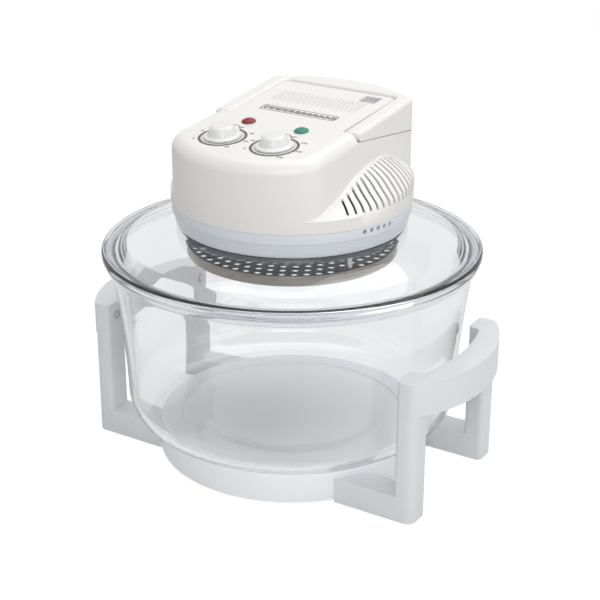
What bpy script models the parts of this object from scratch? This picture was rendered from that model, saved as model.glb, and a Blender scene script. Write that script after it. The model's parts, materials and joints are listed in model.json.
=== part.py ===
"""Countertop convection oven with a glass bowl: a round stand with two side handles, a glass bowl,
and a glass lid that carries the heater, fan and controls in one head with a folding carry handle.

Metres, +Z up. The origin is on the floor, under the middle of the bowl. The controls face -Y
and the two side handles of the stand lie along X.
"""
from math import asin, atan, atan2, cos, hypot, pi, sin, sqrt, tan

import bmesh
import bpy
from mathutils import Matrix, Vector

# General sizes
GAP = 0.0003
OVERRUN = 0.004
WELD = 0.000001
SMOOTH_ANGLE = 0.61
FLAT_ANGLE = 0.002
OUTLINE_FLAT_ANGLE = 0.01
FULL_TURN = 2 * pi

# Stand: round base platform
BASE_LEDGE = 0.006
BASE_UNDERSIDE = 0.003
BASE_HEIGHT = 0.0313
BASE_WALL = 0.003
BASE_EDGE_ROUND = 0.005
BASE_RECESS_DEPTH = 0.002
BASE_SEAT_WIDTH = 0.020
PLATFORM_STEPS = 36

# Stand: side frames, each a bowed bar with two legs and two arms
FOOT_CLEARANCE = 0.0008
BAR_TOP = 0.129
BAR_DEPTH = 0.029
BAR_FINGER_ROOM = 0.008
BAR_OUTER_RADIUS = 0.129
BAR_OUTREACH = 0.0305
FRAME_HALF_DEPTH = 0.079
LEG_WIDTH = 0.025
LEG_TUCK = 0.0114
LEG_DEPTH = 0.0179
LEG_OUTER_ROUND = 0.008
LEG_INNER_ROUND = 0.003
WINDOW_ROUND = 0.014
ARM_HEIGHT = 0.0235
FRAME_EDGE_ROUND = 0.0022

# Stand: screws and pads
SCREW_RADIUS = 0.0018
SCREW_HEAD_RADIUS = 0.0036
SCREW_HEAD_HEIGHT = 0.0022
SCREW_LENGTH = 0.011
STAND_SCREW_HEIGHT = 0.0125
HANDLE_SCREW_DROP = 0.012
PAD_RADIUS = 0.0055
PAD_THICKNESS = 0.0022

# Glass bowl
BOWL_HEIGHT = 0.1587
BOWL_NECK_RADIUS = 0.160
BOWL_TAPER = 0.0116
BOWL_CORNER = 0.0334
BOWL_FLARE = 1.5
BOWL_FLANGE_REACH = 0.0045
BOWL_FLANGE_THICKNESS = 0.0066
BOWL_GLASS = 0.0045

# Glass lid
LID_OVERHANG = 0.0025
LID_RIM_HEIGHT = 0.0072
LID_RIM_WIDTH = 0.011
LID_RISE = 0.0271
LID_GLASS = 0.0045
LID_LIP_DEPTH = 0.005
LID_LIP_WIDTH = 0.004
LID_LIP_CLEARANCE = 0.0010
LID_HOLE_MARGIN = 0.0055
LID_LAND_WIDTH = 0.008
DOME_STRAIGHT_SHARE = 0.5
GLASS_STEPS = 36

# Head skirt, the pale ring under the housing
SKIRT_HEIGHT = 0.0213
SKIRT_BAND_SHARE = 0.55
SKIRT_FOOT_SHARE = 1.5
SKIRT_TOP_RADIUS = 0.105
SKIRT_BOTTOM_RADIUS = 0.1005
SKIRT_WALL = 0.0024
SKIRT_STEP = 0.0007
SKIRT_FLOOR = 0.0025
SKIRT_TONGUE = 0.0035
TONGUE_CLEARANCE = 0.0010
SKIRT_VENT_RADIUS = 0.0016
SKIRT_VENT_DROP = 0.0034
SKIRT_VENT_COUNT = 5
SKIRT_VENT_FIRST = -0.365
SKIRT_VENT_PITCH = 0.070
GASKET_THICKNESS = 0.0015
GASKET_WIDTH = 0.0022

# Turn of the whole head on the round bowl
HEAD_TURN = -0.040

# Head housing
HEAD_FRONT_RADIUS = 0.1055
HEAD_HALF_WIDTH = 0.074
HEAD_REAR = 0.096
HEAD_REAR_SAG = 0.018
HEAD_CORNER_ROUND = 0.014
HEAD_REAR_ROUND = 0.006
HEAD_SHOULDER = 0.011
HEAD_WALL = 0.0025
BULGE_RADIUS = 0.1052
BULGE_FOOT = 0.0105
BULGE_RISE = 0.0320
PANEL_HEIGHT = 0.0698
PANEL_SLOPE = 0.112
BULGE_LEVEL_SHARES = (
    (0.00, 1.000, 1.000, 0.000),
    (0.19, 0.978, 0.900, 0.066),
    (0.38, 0.865, 0.780, 0.143),
    (0.63, 0.640, 0.632, 0.162),
    (0.81, 0.385, 0.504, 0.180),
    (0.94, 0.160, 0.323, 0.200),
    (1.00, -0.060, 0.150, 0.210),
)

# Louvres on the two side bulges and slots in the top
LOUVRE_COUNT = 14
LOUVRE_PITCH = 0.007
LOUVRE_WIDTH = 0.0023
LOUVRE_FIRST = -0.052
LOUVRE_CENTRE = 0.017
LOUVRE_LIFT = 0.0015
LOUVRE_MARGIN = 0.0034
TOP_SLOT_COUNT = 16
TOP_SLOT_PITCH = 0.0056
TOP_SLOT_WIDTH = 0.0020
TOP_SLOT_FRONT = 0.030
TOP_SLOT_LENGTH = 0.024

# Folding carry handle
HANDLE_ARM_WIDTH = 0.0157
HANDLE_BRIDGE_WIDTH = 0.021
HANDLE_PIVOT_BACK = -0.007
HANDLE_SEAM_DROP = 0.0082
HANDLE_SEAM_SLOPE = -0.108
HANDLE_TOP_SLOPE = 0.137
HANDLE_END_ROUND = 0.0033
HANDLE_EDGE_ROUND = 0.0038
HANDLE_INNER_ROUND = 0.006
HANDLE_CLEARANCE = 0.0006
HANDLE_SIDE_CLEARANCE = 0.0004
HANDLE_REAR_CLEARANCE = 0.0018
HANDLE_END_CLEARANCE = 0.0014
PIN_RADIUS = 0.0016
PIN_ARM_DEPTH = 0.009

# Controls on the sloping panel
KNOB_SPACING = 0.0525
KNOB_BACK = -0.0636
KNOB_RADIUS = 0.0158
KNOB_HEIGHT = 0.0165
KNOB_FLANGE = 0.0040
KNOB_GRIP_HALF = 0.0042
KNOB_SCOOP_RADIUS = 0.022
KNOB_TOP_SHARE = 0.86
KNOB_CLEARANCE = 0.0006
SPINDLE_RADIUS = 0.0030
SPINDLE_CLEARANCE = 0.0005
SPINDLE_KNOB_DEPTH = 0.0095
SPINDLE_UNIT_DEPTH = 0.012
TIMER_SIZE = (0.044, 0.038, 0.027)
THERMOSTAT_RADIUS = 0.017
THERMOSTAT_DEPTH = 0.018
LAMP_SPACING = 0.054
LAMP_BACK = -0.0257
LAMP_RADIUS = 0.0062
LAMP_DOME = 0.0022
LAMP_FLANGE = 0.0010
LAMP_STEM_RADIUS = 0.0045
LAMP_STEM_LENGTH = 0.0135

# Safety switch under the window in the top
SWITCH_CENTRE = (0.0395, 0.0625)
SWITCH_WINDOW = (0.0165, 0.0145)
SWITCH_CAP_SUNK = 0.0022
SWITCH_CAP_FLANGE = 0.0015
SWITCH_CAP_THICKNESS = 0.0030
SWITCH_BODY = (0.024, 0.012, 0.016)
SWITCH_STEM_RADIUS = 0.0020
SWITCH_STEM_DEPTH = 0.008
SWITCH_ROOM = 0.0052
SWITCH_TRAVEL = 0.0020
EAR_WIDTH_SHARE = 0.7

# Reflector pan, heater and guard
PAN_GRIP = 0.0035
PAN_NECK_RADIUS = 0.082
PAN_SHEET = 0.0012
PAN_RISE = 0.0160
PAN_SHAFT_HOLE = 0.006
GUARD_RADIUS = 0.092
GUARD_DROP = 0.0137
GUARD_SHEET = 0.0010
GUARD_RIM = 0.0078
GUARD_HOLE_RADIUS = 0.0031
GUARD_HOLE_SIDES = 6
GUARD_RING_SHARES = (0.955, 0.805, 0.655)
GUARD_HOLE_PITCH = 0.0185
GUARD_CENTRE_SHARES = (0.44,)
GUARD_CENTRE_PITCH = 0.0230
GUARD_SPOKE_HALF = 0.0085
STANDOFF_RING = 0.0865
STANDOFF_RADIUS = 0.0027
STANDOFF_COUNT = 3
STANDOFF_FIRST = -0.39
BOSS_RADIUS = 0.0045
BOSS_THREAD_DEPTH = 0.0045
NUT_RADIUS = 0.0036
NUT_HEIGHT = 0.0028
HEATER_RADIUS = 0.060
HEATER_TUBE = 0.0045
HEATER_OPENING = 0.32
HEATER_DROP = 0.0085
SOCKET_SIZE = (0.014, 0.014, 0.005)
CONVECTION_FAN_RADIUS = 0.046
CONVECTION_FAN_HEIGHT = 0.0085
CONVECTION_FAN_BLADES = 6
CONVECTION_FAN_LIFT = 0.0075
FAN_PLATE = 0.0010
FAN_HUB_RADIUS = 0.007
FAN_DISC_SHARE = 0.98
FAN_BLADE_SHARE = 0.96

# Motor group inside the housing
SHAFT_RADIUS = 0.0030
SHAFT_RUNNING_GAP = 0.0003
BRACKET_HEIGHT = 0.0135
BRACKET_SHEET = 0.0015
BRACKET_WIDTH = 0.040
BRACKET_SPAN = 0.0935
BRACKET_FOOT = 0.008
MOTOR_RADIUS = 0.027
MOTOR_HEIGHT = 0.034
MOTOR_ROUND = 0.003
COOLING_FAN_RADIUS = 0.036
COOLING_FAN_HEIGHT = 0.010
COOLING_FAN_BLADES = 8
COOLING_FAN_LIFT = 0.003
COOLING_FAN_LEAN = 0.35
SHAFT_END = 0.002

# Housing screws and cord bushing
HOUSING_SCREW_RING = 0.0880
HOUSING_SCREW_TURN = 0.785
COLUMN_RADIUS = 0.0045
BUSHING_RADIUS = 0.007
BUSHING_BORE = 0.0038
BUSHING_FLANGE = 0.0018
BUSHING_LENGTH = 0.010
BUSHING_ACROSS = -0.040
BUSHING_LIFT = 0.030

# Radii that follow from the bowl and the skirt
BOWL_FLANGE_RADIUS = BOWL_NECK_RADIUS + BOWL_FLANGE_REACH
BOWL_FLAT_RADIUS = BOWL_NECK_RADIUS - BOWL_TAPER - BOWL_CORNER
BASE_RADIUS = BOWL_FLAT_RADIUS + BASE_LEDGE
BAR_INNER_RADIUS = BOWL_NECK_RADIUS + BAR_FINGER_ROOM
BAR_REACH = BOWL_NECK_RADIUS + BAR_OUTREACH
LEG_INNER = BOWL_NECK_RADIUS - LEG_TUCK
LEG_OUTER = LEG_INNER + LEG_DEPTH
LID_RADIUS = BOWL_FLANGE_RADIUS + LID_OVERHANG
LID_HOLE_RADIUS = SKIRT_BOTTOM_RADIUS - LID_HOLE_MARGIN
PAN_FLANGE_RADIUS = LID_HOLE_RADIUS + PAN_GRIP

# Heights, from the floor up
BASE_TOP = BASE_HEIGHT
BOWL_BOTTOM = BASE_TOP + GAP
BOWL_TOP = BOWL_BOTTOM + BOWL_HEIGHT
LID_BOTTOM = BOWL_TOP + GAP
LID_TOP = LID_BOTTOM + LID_RISE
LID_LAND_UNDERSIDE = LID_TOP - LID_GLASS
SKIRT_BOTTOM = LID_TOP + GAP
SKIRT_FLOOR_UNDERSIDE = SKIRT_BOTTOM + GASKET_THICKNESS + GAP
SKIRT_FLOOR_TOP = SKIRT_FLOOR_UNDERSIDE + SKIRT_FLOOR
SKIRT_TOP = SKIRT_BOTTOM + SKIRT_HEIGHT
HOUSING_BOTTOM = SKIRT_TOP + GAP
BULGE_BASE = HOUSING_BOTTOM + BULGE_FOOT
PANEL_ZERO = HOUSING_BOTTOM + PANEL_HEIGHT
PAN_TOP = LID_LAND_UNDERSIDE - GAP
PAN_UNDERSIDE = PAN_TOP - PAN_SHEET
PAN_CROWN = PAN_TOP + PAN_RISE
GUARD_TOP = PAN_UNDERSIDE - GUARD_DROP
GUARD_UNDERSIDE = GUARD_TOP - GUARD_SHEET
BRACKET_TOP = SKIRT_FLOOR_TOP + GAP + BRACKET_HEIGHT
MOTOR_BOTTOM = BRACKET_TOP + GAP
MOTOR_TOP = MOTOR_BOTTOM + MOTOR_HEIGHT
HANDLE_PIVOT_TOP = PANEL_ZERO + PANEL_SLOPE * HANDLE_PIVOT_BACK
PANEL_TILT = atan(PANEL_SLOPE)
BAR_CENTRE = BAR_REACH - BAR_OUTER_RADIUS
BAR_BOTTOM = BAR_TOP - BAR_DEPTH
HANDLE_SHAPE_FRONT = HANDLE_PIVOT_BACK - HANDLE_END_ROUND


def clear_scene():
    for old in list(bpy.data.objects):
        bpy.data.objects.remove(old, do_unlink=True)


def new_collection(name):
    group = bpy.data.collections.new(name)
    bpy.context.scene.collection.children.link(group)
    return group


clear_scene()
PARTS = new_collection("convection_oven")
CUTTERS = new_collection("cutters")


def finish(name, colour, roughness, metallic=0.0, transmission=0.0):
    """A Principled material in one colour."""
    material = bpy.data.materials.new(name)
    material.use_nodes = True
    shader = material.node_tree.nodes["Principled BSDF"]
    shader.inputs["Base Color"].default_value = (*colour, 1.0)
    shader.inputs["Roughness"].default_value = roughness
    shader.inputs["Metallic"].default_value = metallic
    shader.inputs["Transmission Weight"].default_value = transmission
    return material


WARM_WHITE = finish("warm_white_gloss", (0.86, 0.86, 0.84), 0.28)
COOL_GREY = finish("cool_grey_satin", (0.72, 0.75, 0.77), 0.45)
SKIRT_BLUE = finish("pale_blue_grey", (0.70, 0.75, 0.80), 0.38)
CLEAR_GLASS = finish("clear_glass", (0.92, 0.95, 0.95), 0.03, 0.0, 0.95)
SILICONE = finish("silicone", (0.55, 0.56, 0.57), 0.70)
RUBBER = finish("rubber", (0.06, 0.06, 0.06), 0.80)
STEEL = finish("bright_steel", (0.62, 0.62, 0.62), 0.25, 1.0)
DARK_STEEL = finish("dark_enamelled_steel", (0.05, 0.05, 0.055), 0.40, 0.6)
REFLECTOR = finish("reflector_steel", (0.55, 0.55, 0.55), 0.30, 1.0)
QUARTZ = finish("quartz_tube", (0.80, 0.74, 0.66), 0.15, 0.0, 0.5)
CERAMIC = finish("ceramic", (0.85, 0.82, 0.76), 0.60)
DARK_PLASTIC = finish("dark_plastic", (0.08, 0.08, 0.09), 0.50)
RED_LENS = finish("red_lens", (0.60, 0.02, 0.02), 0.15)
GREEN_LENS = finish("green_lens", (0.05, 0.45, 0.33), 0.15)


def add_object(name, mesh, material=None, group=PARTS):
    obj = bpy.data.objects.new(name, mesh)
    group.objects.link(obj)
    if material:
        mesh.materials.append(material)
    if group == CUTTERS:
        obj.hide_render = True
        obj.display_type = "WIRE"
    return obj


def mesh_from(name, work):
    """Store a bmesh as a smooth-shaded mesh with its real edges kept sharp."""
    work.normal_update()
    bmesh.ops.recalc_face_normals(work, faces=work.faces)
    mesh = bpy.data.meshes.new(name)
    work.to_mesh(mesh)
    work.free()
    mesh.shade_smooth()
    mesh.set_sharp_from_angle(angle=SMOOTH_ANGLE)
    return mesh


def evaluated_mesh(obj):
    graph = bpy.context.evaluated_depsgraph_get()
    return bpy.data.meshes.new_from_object(obj.evaluated_get(graph))


def turned(name, profile, material=None, steps=48, group=PARTS):
    """A solid of revolution about Z. The profile runs down its outer side."""
    mesh = bpy.data.meshes.new(name)
    on_axis = abs(profile[0][0]) < WELD and abs(profile[-1][0]) < WELD
    edges = [(i, i + 1) for i in range(len(profile) - 1)]
    if not on_axis:
        edges.append((len(profile) - 1, 0))
    mesh.from_pydata([(radius, 0, height) for radius, height in profile], edges, [])
    obj = add_object(name, mesh, material, group)
    screw = obj.modifiers.new("turn", "SCREW")
    screw.axis = "Z"
    screw.angle = FULL_TURN
    screw.steps = steps
    screw.render_steps = steps
    screw.use_merge_vertices = True
    screw.merge_threshold = WELD
    screw.use_smooth_shade = True
    return obj


def prism(name, loops, bottom, top, material=None, group=PARTS):
    """A flat outline, with any holes as further loops, drawn as a filled curve and raised."""
    curve = bpy.data.curves.new(name, "CURVE")
    curve.dimensions = "2D"
    curve.fill_mode = "BOTH"
    curve.extrude = (top - bottom) / 2
    for loop in loops:
        spline = curve.splines.new("POLY")
        spline.points.add(len(loop) - 1)
        for point, (x, y) in zip(spline.points, loop):
            point.co = (x, y, 0, 1)
        spline.use_cyclic_u = True
    sketch = add_object(name + "_sketch", curve, None, CUTTERS)
    sketch.location.z = (top + bottom) / 2
    bpy.context.view_layer.update()
    work = bmesh.new()
    work.from_mesh(evaluated_mesh(sketch))
    bmesh.ops.remove_doubles(work, verts=work.verts, dist=WELD)
    work.transform(sketch.matrix_world)
    bpy.data.objects.remove(sketch)
    return add_object(name, mesh_from(name, work), material, group)


def tube(name, points, radius, material, sides_level=2):
    """A round bar along a list of points."""
    curve = bpy.data.curves.new(name, "CURVE")
    curve.dimensions = "3D"
    curve.bevel_depth = radius
    curve.bevel_resolution = sides_level
    curve.use_fill_caps = True
    spline = curve.splines.new("POLY")
    spline.points.add(len(points) - 1)
    for point, place in zip(spline.points, points):
        point.co = (*place, 1)
    return add_object(name, curve, material)


def box(name, low, high, material=None, group=PARTS):
    work = bmesh.new()
    size = [b - a for a, b in zip(low, high)]
    middle = [(a + b) / 2 for a, b in zip(low, high)]
    bmesh.ops.create_cube(work, size=1)
    work.transform(Matrix.Translation(middle) @ Matrix.Diagonal((*size, 1)))
    return add_object(name, mesh_from(name, work), material, group)


def rod(name, start, end, radius, material=None, sides=16, group=CUTTERS):
    """A straight round bar between two points."""
    start, end = Vector(start), Vector(end)
    along = end - start
    work = bmesh.new()
    bmesh.ops.create_cone(work, cap_ends=True, segments=sides, radius1=radius, radius2=radius,
                          depth=along.length)
    turn = along.to_track_quat("Z", "Y").to_matrix().to_4x4()
    work.transform(Matrix.Translation((start + end) / 2) @ turn)
    return add_object(name, mesh_from(name, work), material, group)


def joined(name, pieces, group=CUTTERS):
    """Several separate cutters as one object."""
    work = bmesh.new()
    for piece in pieces:
        start = len(work.verts)
        work.from_mesh(evaluated_mesh(piece))
        work.verts.ensure_lookup_table()
        bmesh.ops.transform(work, matrix=piece.matrix_world, verts=work.verts[start:])
        bpy.data.objects.remove(piece)
    return add_object(name, mesh_from(name, work), None, group)


def combine(obj, other, operation):
    step = obj.modifiers.new(other.name, "BOOLEAN")
    step.operation = operation
    step.solver = "EXACT"
    step.object = other


def cut(obj, *cutters):
    for cutter in cutters:
        combine(obj, cutter, "DIFFERENCE")


def unite(obj, *others):
    for other in others:
        combine(obj, other, "UNION")


def rounded_edges(obj, width, segments=2, angle=0.9):
    bevel = obj.modifiers.new("rounded_edges", "BEVEL")
    bevel.width = width
    bevel.segments = segments
    bevel.limit_method = "ANGLE"
    bevel.angle_limit = angle


def settle(obj):
    """Turn an object's modifiers into its mesh, with real edges kept sharp."""
    bpy.context.view_layer.update()
    work = bmesh.new()
    work.from_mesh(evaluated_mesh(obj))
    bmesh.ops.remove_doubles(work, verts=work.verts, dist=WELD)
    bmesh.ops.dissolve_degenerate(work, edges=work.edges, dist=WELD)
    bmesh.ops.dissolve_limit(work, angle_limit=FLAT_ANGLE, verts=work.verts, edges=work.edges)
    materials = list(obj.data.materials)
    mesh = mesh_from(obj.name, work)
    obj.modifiers.clear()
    obj.data = mesh
    mesh.materials.clear()
    for material in materials:
        mesh.materials.append(material)
    return obj


def empty(name, place, tilt=0.0):
    frame = bpy.data.objects.new(name, None)
    PARTS.objects.link(frame)
    frame.location = place
    frame.rotation_euler.x = tilt
    return frame


def set_origin(obj, place):
    """Move an object's origin to its joint axis and leave its shape where it is."""
    obj.data.transform(Matrix.Translation(-Vector(place)))
    obj.location = place


def arc(radius, start, end, count, centre=(0.0, 0.0)):
    """Points on an arc in plan, both ends included."""
    step = (end - start) / count
    angles = [start + step * i for i in range(count + 1)]
    return [(centre[0] + radius * cos(a), centre[1] + radius * sin(a)) for a in angles]


def filleted(corners, count=4):
    """An outline whose corners (x, y, radius) are rounded where the radius isn't zero."""
    outline = []
    for i, (x, y, radius) in enumerate(corners):
        here = Vector((x, y))
        if radius < WELD:
            outline.append((x, y))
            continue
        before = Vector(corners[i - 1][:2]) - here
        after = Vector(corners[(i + 1) % len(corners)][:2]) - here
        half = before.angle(after) / 2
        reach = min(radius / tan(half), before.length / 2, after.length / 2)
        radius = reach * tan(half)
        middle = here + (before.normalized() + after.normalized()).normalized() * radius / sin(half)
        first = here + before.normalized() * reach - middle
        last = here + after.normalized() * reach - middle
        start = atan2(first.y, first.x)
        sweep = (atan2(last.y, last.x) - start + pi) % FULL_TURN - pi
        outline += arc(radius, start, start + sweep, count, middle)
    return outline


def make_base_platform():
    """Round hollow platform that the bowl stands on, open underneath."""
    inner = BASE_RADIUS - BASE_WALL
    seat_inner = BASE_RADIUS - BASE_SEAT_WIDTH
    floor = BASE_TOP - BASE_WALL
    profile = filleted((
        (0, BASE_TOP - BASE_RECESS_DEPTH, 0),
        (seat_inner, BASE_TOP - BASE_RECESS_DEPTH, 0),
        (seat_inner, BASE_TOP, 0),
        (BASE_RADIUS, BASE_TOP, BASE_EDGE_ROUND),
        (BASE_RADIUS, BASE_UNDERSIDE, 0),
        (inner, BASE_UNDERSIDE, 0),
        (inner, floor - BASE_RECESS_DEPTH, BASE_EDGE_ROUND - BASE_WALL),
        (0, floor - BASE_RECESS_DEPTH, 0)), 3)
    return turned("base_platform", profile, COOL_GREY, PLATFORM_STEPS)


def arm_turn():
    """Angle in plan at which each arm meets the platform."""
    middle = FRAME_HALF_DEPTH - LEG_WIDTH / 2
    return asin(middle / BASE_RADIUS)


def bar_outline():
    """Plan of one handle bar at +X: outer bow, ends over the legs and an arc round the bowl."""
    half = FRAME_HALF_DEPTH
    near = half - LEG_WIDTH
    reach = asin(half / BAR_OUTER_RADIUS)
    bow = [(x, y, 0) for x, y in arc(BAR_OUTER_RADIUS, -reach, reach, 8, (BAR_CENTRE, 0))]
    bow[0] = (*bow[0][:2], LEG_OUTER_ROUND)
    bow[-1] = (*bow[-1][:2], LEG_OUTER_ROUND)
    inner_turn = asin(near / BAR_INNER_RADIUS)
    inside = [(x, y, 0) for x, y in arc(BAR_INNER_RADIUS, inner_turn, -inner_turn, 5)]
    inside[0] = (*inside[0][:2], LEG_INNER_ROUND)
    inside[-1] = (*inside[-1][:2], LEG_INNER_ROUND)
    back = [(LEG_INNER, half, LEG_INNER_ROUND), (LEG_INNER, near, LEG_INNER_ROUND)]
    front = [(LEG_INNER, -near, LEG_INNER_ROUND), (LEG_INNER, -half, LEG_INNER_ROUND)]
    return filleted(bow + back + inside + front, 2)


def leg_outline(side):
    """Plan of one leg at +X, well rounded on its outer end."""
    far = FRAME_HALF_DEPTH
    near = far - LEG_WIDTH
    outline = filleted((
        (LEG_INNER, near, LEG_INNER_ROUND),
        (LEG_OUTER, near, LEG_INNER_ROUND),
        (LEG_OUTER, far, LEG_OUTER_ROUND),
        (LEG_INNER, far, LEG_INNER_ROUND)), 2)
    return [(x, y * side) for x, y in outline]


def arm_outline(side):
    """Plan of one arm at +X, from the platform's wall out into the leg."""
    near = FRAME_HALF_DEPTH - LEG_WIDTH
    radius = BASE_RADIUS + GAP
    inner = arc(radius, asin(near / radius), asin(FRAME_HALF_DEPTH / radius), 4)
    outer_x = LEG_INNER + LEG_INNER_ROUND
    outline = [(outer_x, near)] + inner + [(outer_x, FRAME_HALF_DEPTH)]
    return [(x, y * side) for x, y in outline]


def make_side_frame(name, hand):
    """Bowed handle bar, two legs and two arms in one moulding; hand is +1 for +X."""
    haunch = BAR_BOTTOM - WINDOW_ROUND
    frame = prism(name, [bar_outline()], haunch, BAR_TOP, COOL_GREY)
    half = FRAME_HALF_DEPTH - LEG_WIDTH
    low = FOOT_CLEARANCE - OVERRUN
    window = filleted((
        (half, low, 0),
        (half, BAR_BOTTOM, WINDOW_ROUND),
        (-half, BAR_BOTTOM, WINDOW_ROUND),
        (-half, low, 0)), 4)
    opening = prism("window", [window], 0, BAR_REACH + OVERRUN, None, CUTTERS)
    opening.data.transform(Matrix.Rotation(pi / 2, 4, "Z") @ Matrix.Rotation(pi / 2, 4, "X"))
    cut(frame, opening)
    for side in (1, -1):
        leg = prism("leg", [leg_outline(side)], FOOT_CLEARANCE, haunch + GAP, None, CUTTERS)
        arm = prism("arm", [arm_outline(side)], FOOT_CLEARANCE, ARM_HEIGHT, None, CUTTERS)
        unite(frame, leg, arm)
    settle(frame)
    rounded_edges(frame, FRAME_EDGE_ROUND)
    settle(frame)
    holes = []
    for side in (1, -1):
        holes.append(stand_screw_hole(side))
        place, direction = handle_screw_place(side)
        end = place + direction * (SCREW_LENGTH + GAP)
        holes.append(rod("hole", place - direction * OVERRUN, end, SCREW_RADIUS + GAP, None, 10))
        holes.append(pad_recess(side))
    cut(frame, joined(name + "_holes", holes))
    settle(frame)
    if hand < 0:
        frame.data.transform(Matrix.Rotation(pi, 4, "Z"))
    return frame


def handle_screw_place(side):
    """Seat of the screw near the top of a leg's inner face, and its direction."""
    y = (FRAME_HALF_DEPTH - LEG_WIDTH / 2) * side
    return Vector((LEG_INNER, y, BAR_TOP - HANDLE_SCREW_DROP)), Vector((1, 0, 0))


def make_screw(name, place, direction, length, material=STEEL):
    """Pan-head screw: its head rests at place and its shank runs along direction."""
    seat = -GAP
    profile = (
        (0, seat, 0),
        (SCREW_HEAD_RADIUS, seat, 0),
        (SCREW_HEAD_RADIUS, seat - SCREW_HEAD_HEIGHT, SCREW_HEAD_HEIGHT / 2),
        (0, seat - SCREW_HEAD_HEIGHT, 0))
    head = turned(name, filleted(profile, 1), material, 10)
    shank = rod("shank", (0, 0, seat - SCREW_HEAD_HEIGHT / 2), (0, 0, length), SCREW_RADIUS, None, 8)
    unite(head, shank)
    settle(head)
    turn = Vector(direction).to_track_quat("Z", "Y").to_matrix().to_4x4()
    head.data.transform(turn)
    head.location = place
    return head


def stand_screw_place(side):
    turn = arm_turn() * side
    direction = Vector((cos(turn), sin(turn), 0))
    seat = direction * (BASE_RADIUS - BASE_WALL) * cos(pi / PLATFORM_STEPS)
    seat.z = STAND_SCREW_HEIGHT
    return seat, direction


def stand_screw_hole(side):
    place, direction = stand_screw_place(side)
    end = place + direction * (SCREW_LENGTH + GAP)
    return rod("hole", place - direction * OVERRUN, end, SCREW_RADIUS + GAP, None, 10)


def pad_place(side):
    y = (FRAME_HALF_DEPTH - LEG_WIDTH / 2) * side
    return Vector(((LEG_OUTER + LEG_INNER) / 2, y, 0))


def pad_recess(side):
    place = pad_place(side)
    top = place + Vector((0, 0, PAD_THICKNESS + GAP))
    return rod("recess", place - Vector((0, 0, OVERRUN)), top, PAD_RADIUS + GAP, None, 14)


def mirrored_place(place, hand):
    return Vector((place.x * hand, place.y * hand, place.z))


def make_stand():
    platform = make_base_platform()
    holes = []
    number = 0
    for hand, label in ((1, "right"), (-1, "left")):
        make_side_frame("side_frame_" + label, hand)
        for side in (1, -1):
            number += 1
            place, direction = stand_screw_place(side)
            place, direction = mirrored_place(place, hand), mirrored_place(direction, hand)
            make_screw("stand_screw_%d" % number, place, direction, SCREW_LENGTH)
            end = place + direction * SCREW_LENGTH
            holes.append(rod("hole", place - direction * OVERRUN, end, SCREW_RADIUS + GAP, None, 10))
            place, direction = handle_screw_place(side)
            place, direction = mirrored_place(place, hand), mirrored_place(direction, hand)
            make_screw("handle_screw_%d" % number, place, direction, SCREW_LENGTH)
            foot = mirrored_place(pad_place(side), hand)
            top = foot + Vector((0, 0, PAD_THICKNESS))
            rod("foot_pad_%d" % number, foot, top, PAD_RADIUS, RUBBER, 14, PARTS)
    cut(platform, joined("platform_holes", holes))
    settle(platform)


def bowl_wall(inset, count):
    """Outline of the bowl's wall from the rim's underside down to the middle of its floor."""
    corner_height = BOWL_BOTTOM + BOWL_CORNER
    neck = BOWL_TOP - BOWL_FLANGE_THICKNESS
    widest = BOWL_FLAT_RADIUS + BOWL_CORNER
    points = []
    for i in range(count, 0, -1):
        share = i / count
        radius = widest + (BOWL_NECK_RADIUS - widest) * share ** BOWL_FLARE
        points.append((radius - inset, corner_height + (neck - corner_height) * share))
    corner = arc(BOWL_CORNER - inset, 0, -pi / 2, 5, (BOWL_FLAT_RADIUS, corner_height))
    return points + corner


def make_glass_bowl():
    neck = BOWL_TOP - BOWL_FLANGE_THICKNESS
    edge = BOWL_FLANGE_THICKNESS / 4
    inner_edge = BOWL_NECK_RADIUS - BOWL_GLASS
    outside = bowl_wall(0, 3)
    inside = bowl_wall(BOWL_GLASS, 3)
    profile = filleted((
        (inner_edge, BOWL_TOP, edge),
        (BOWL_FLANGE_RADIUS, BOWL_TOP, edge),
        (BOWL_FLANGE_RADIUS, neck, edge)), 2)
    profile = profile[1:]
    profile += outside
    profile.append((0, BOWL_BOTTOM))
    loop = [(0, BOWL_BOTTOM + BOWL_GLASS)] + inside[::-1] + [(inner_edge, BOWL_TOP - edge)] + profile
    return turned("glass_bowl", loop, CLEAR_GLASS, GLASS_STEPS)


def lid_dome(count):
    """Upper face of the lid from the rim's inner edge in to the flat land round the hole."""
    start = LID_RADIUS - LID_RIM_WIDTH
    end = LID_HOLE_RADIUS + LID_LAND_WIDTH
    low = LID_BOTTOM + LID_RIM_HEIGHT - LID_LIP_CLEARANCE
    points = []
    for i in range(count + 1):
        turn = pi / 2 * i / count
        straight = DOME_STRAIGHT_SHARE * i / count
        inward = straight + (1 - DOME_STRAIGHT_SHARE) * (1 - cos(turn))
        upward = straight + (1 - DOME_STRAIGHT_SHARE) * sin(turn)
        points.append((start - (start - end) * inward, low + (LID_TOP - low) * upward))
    return points


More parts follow.
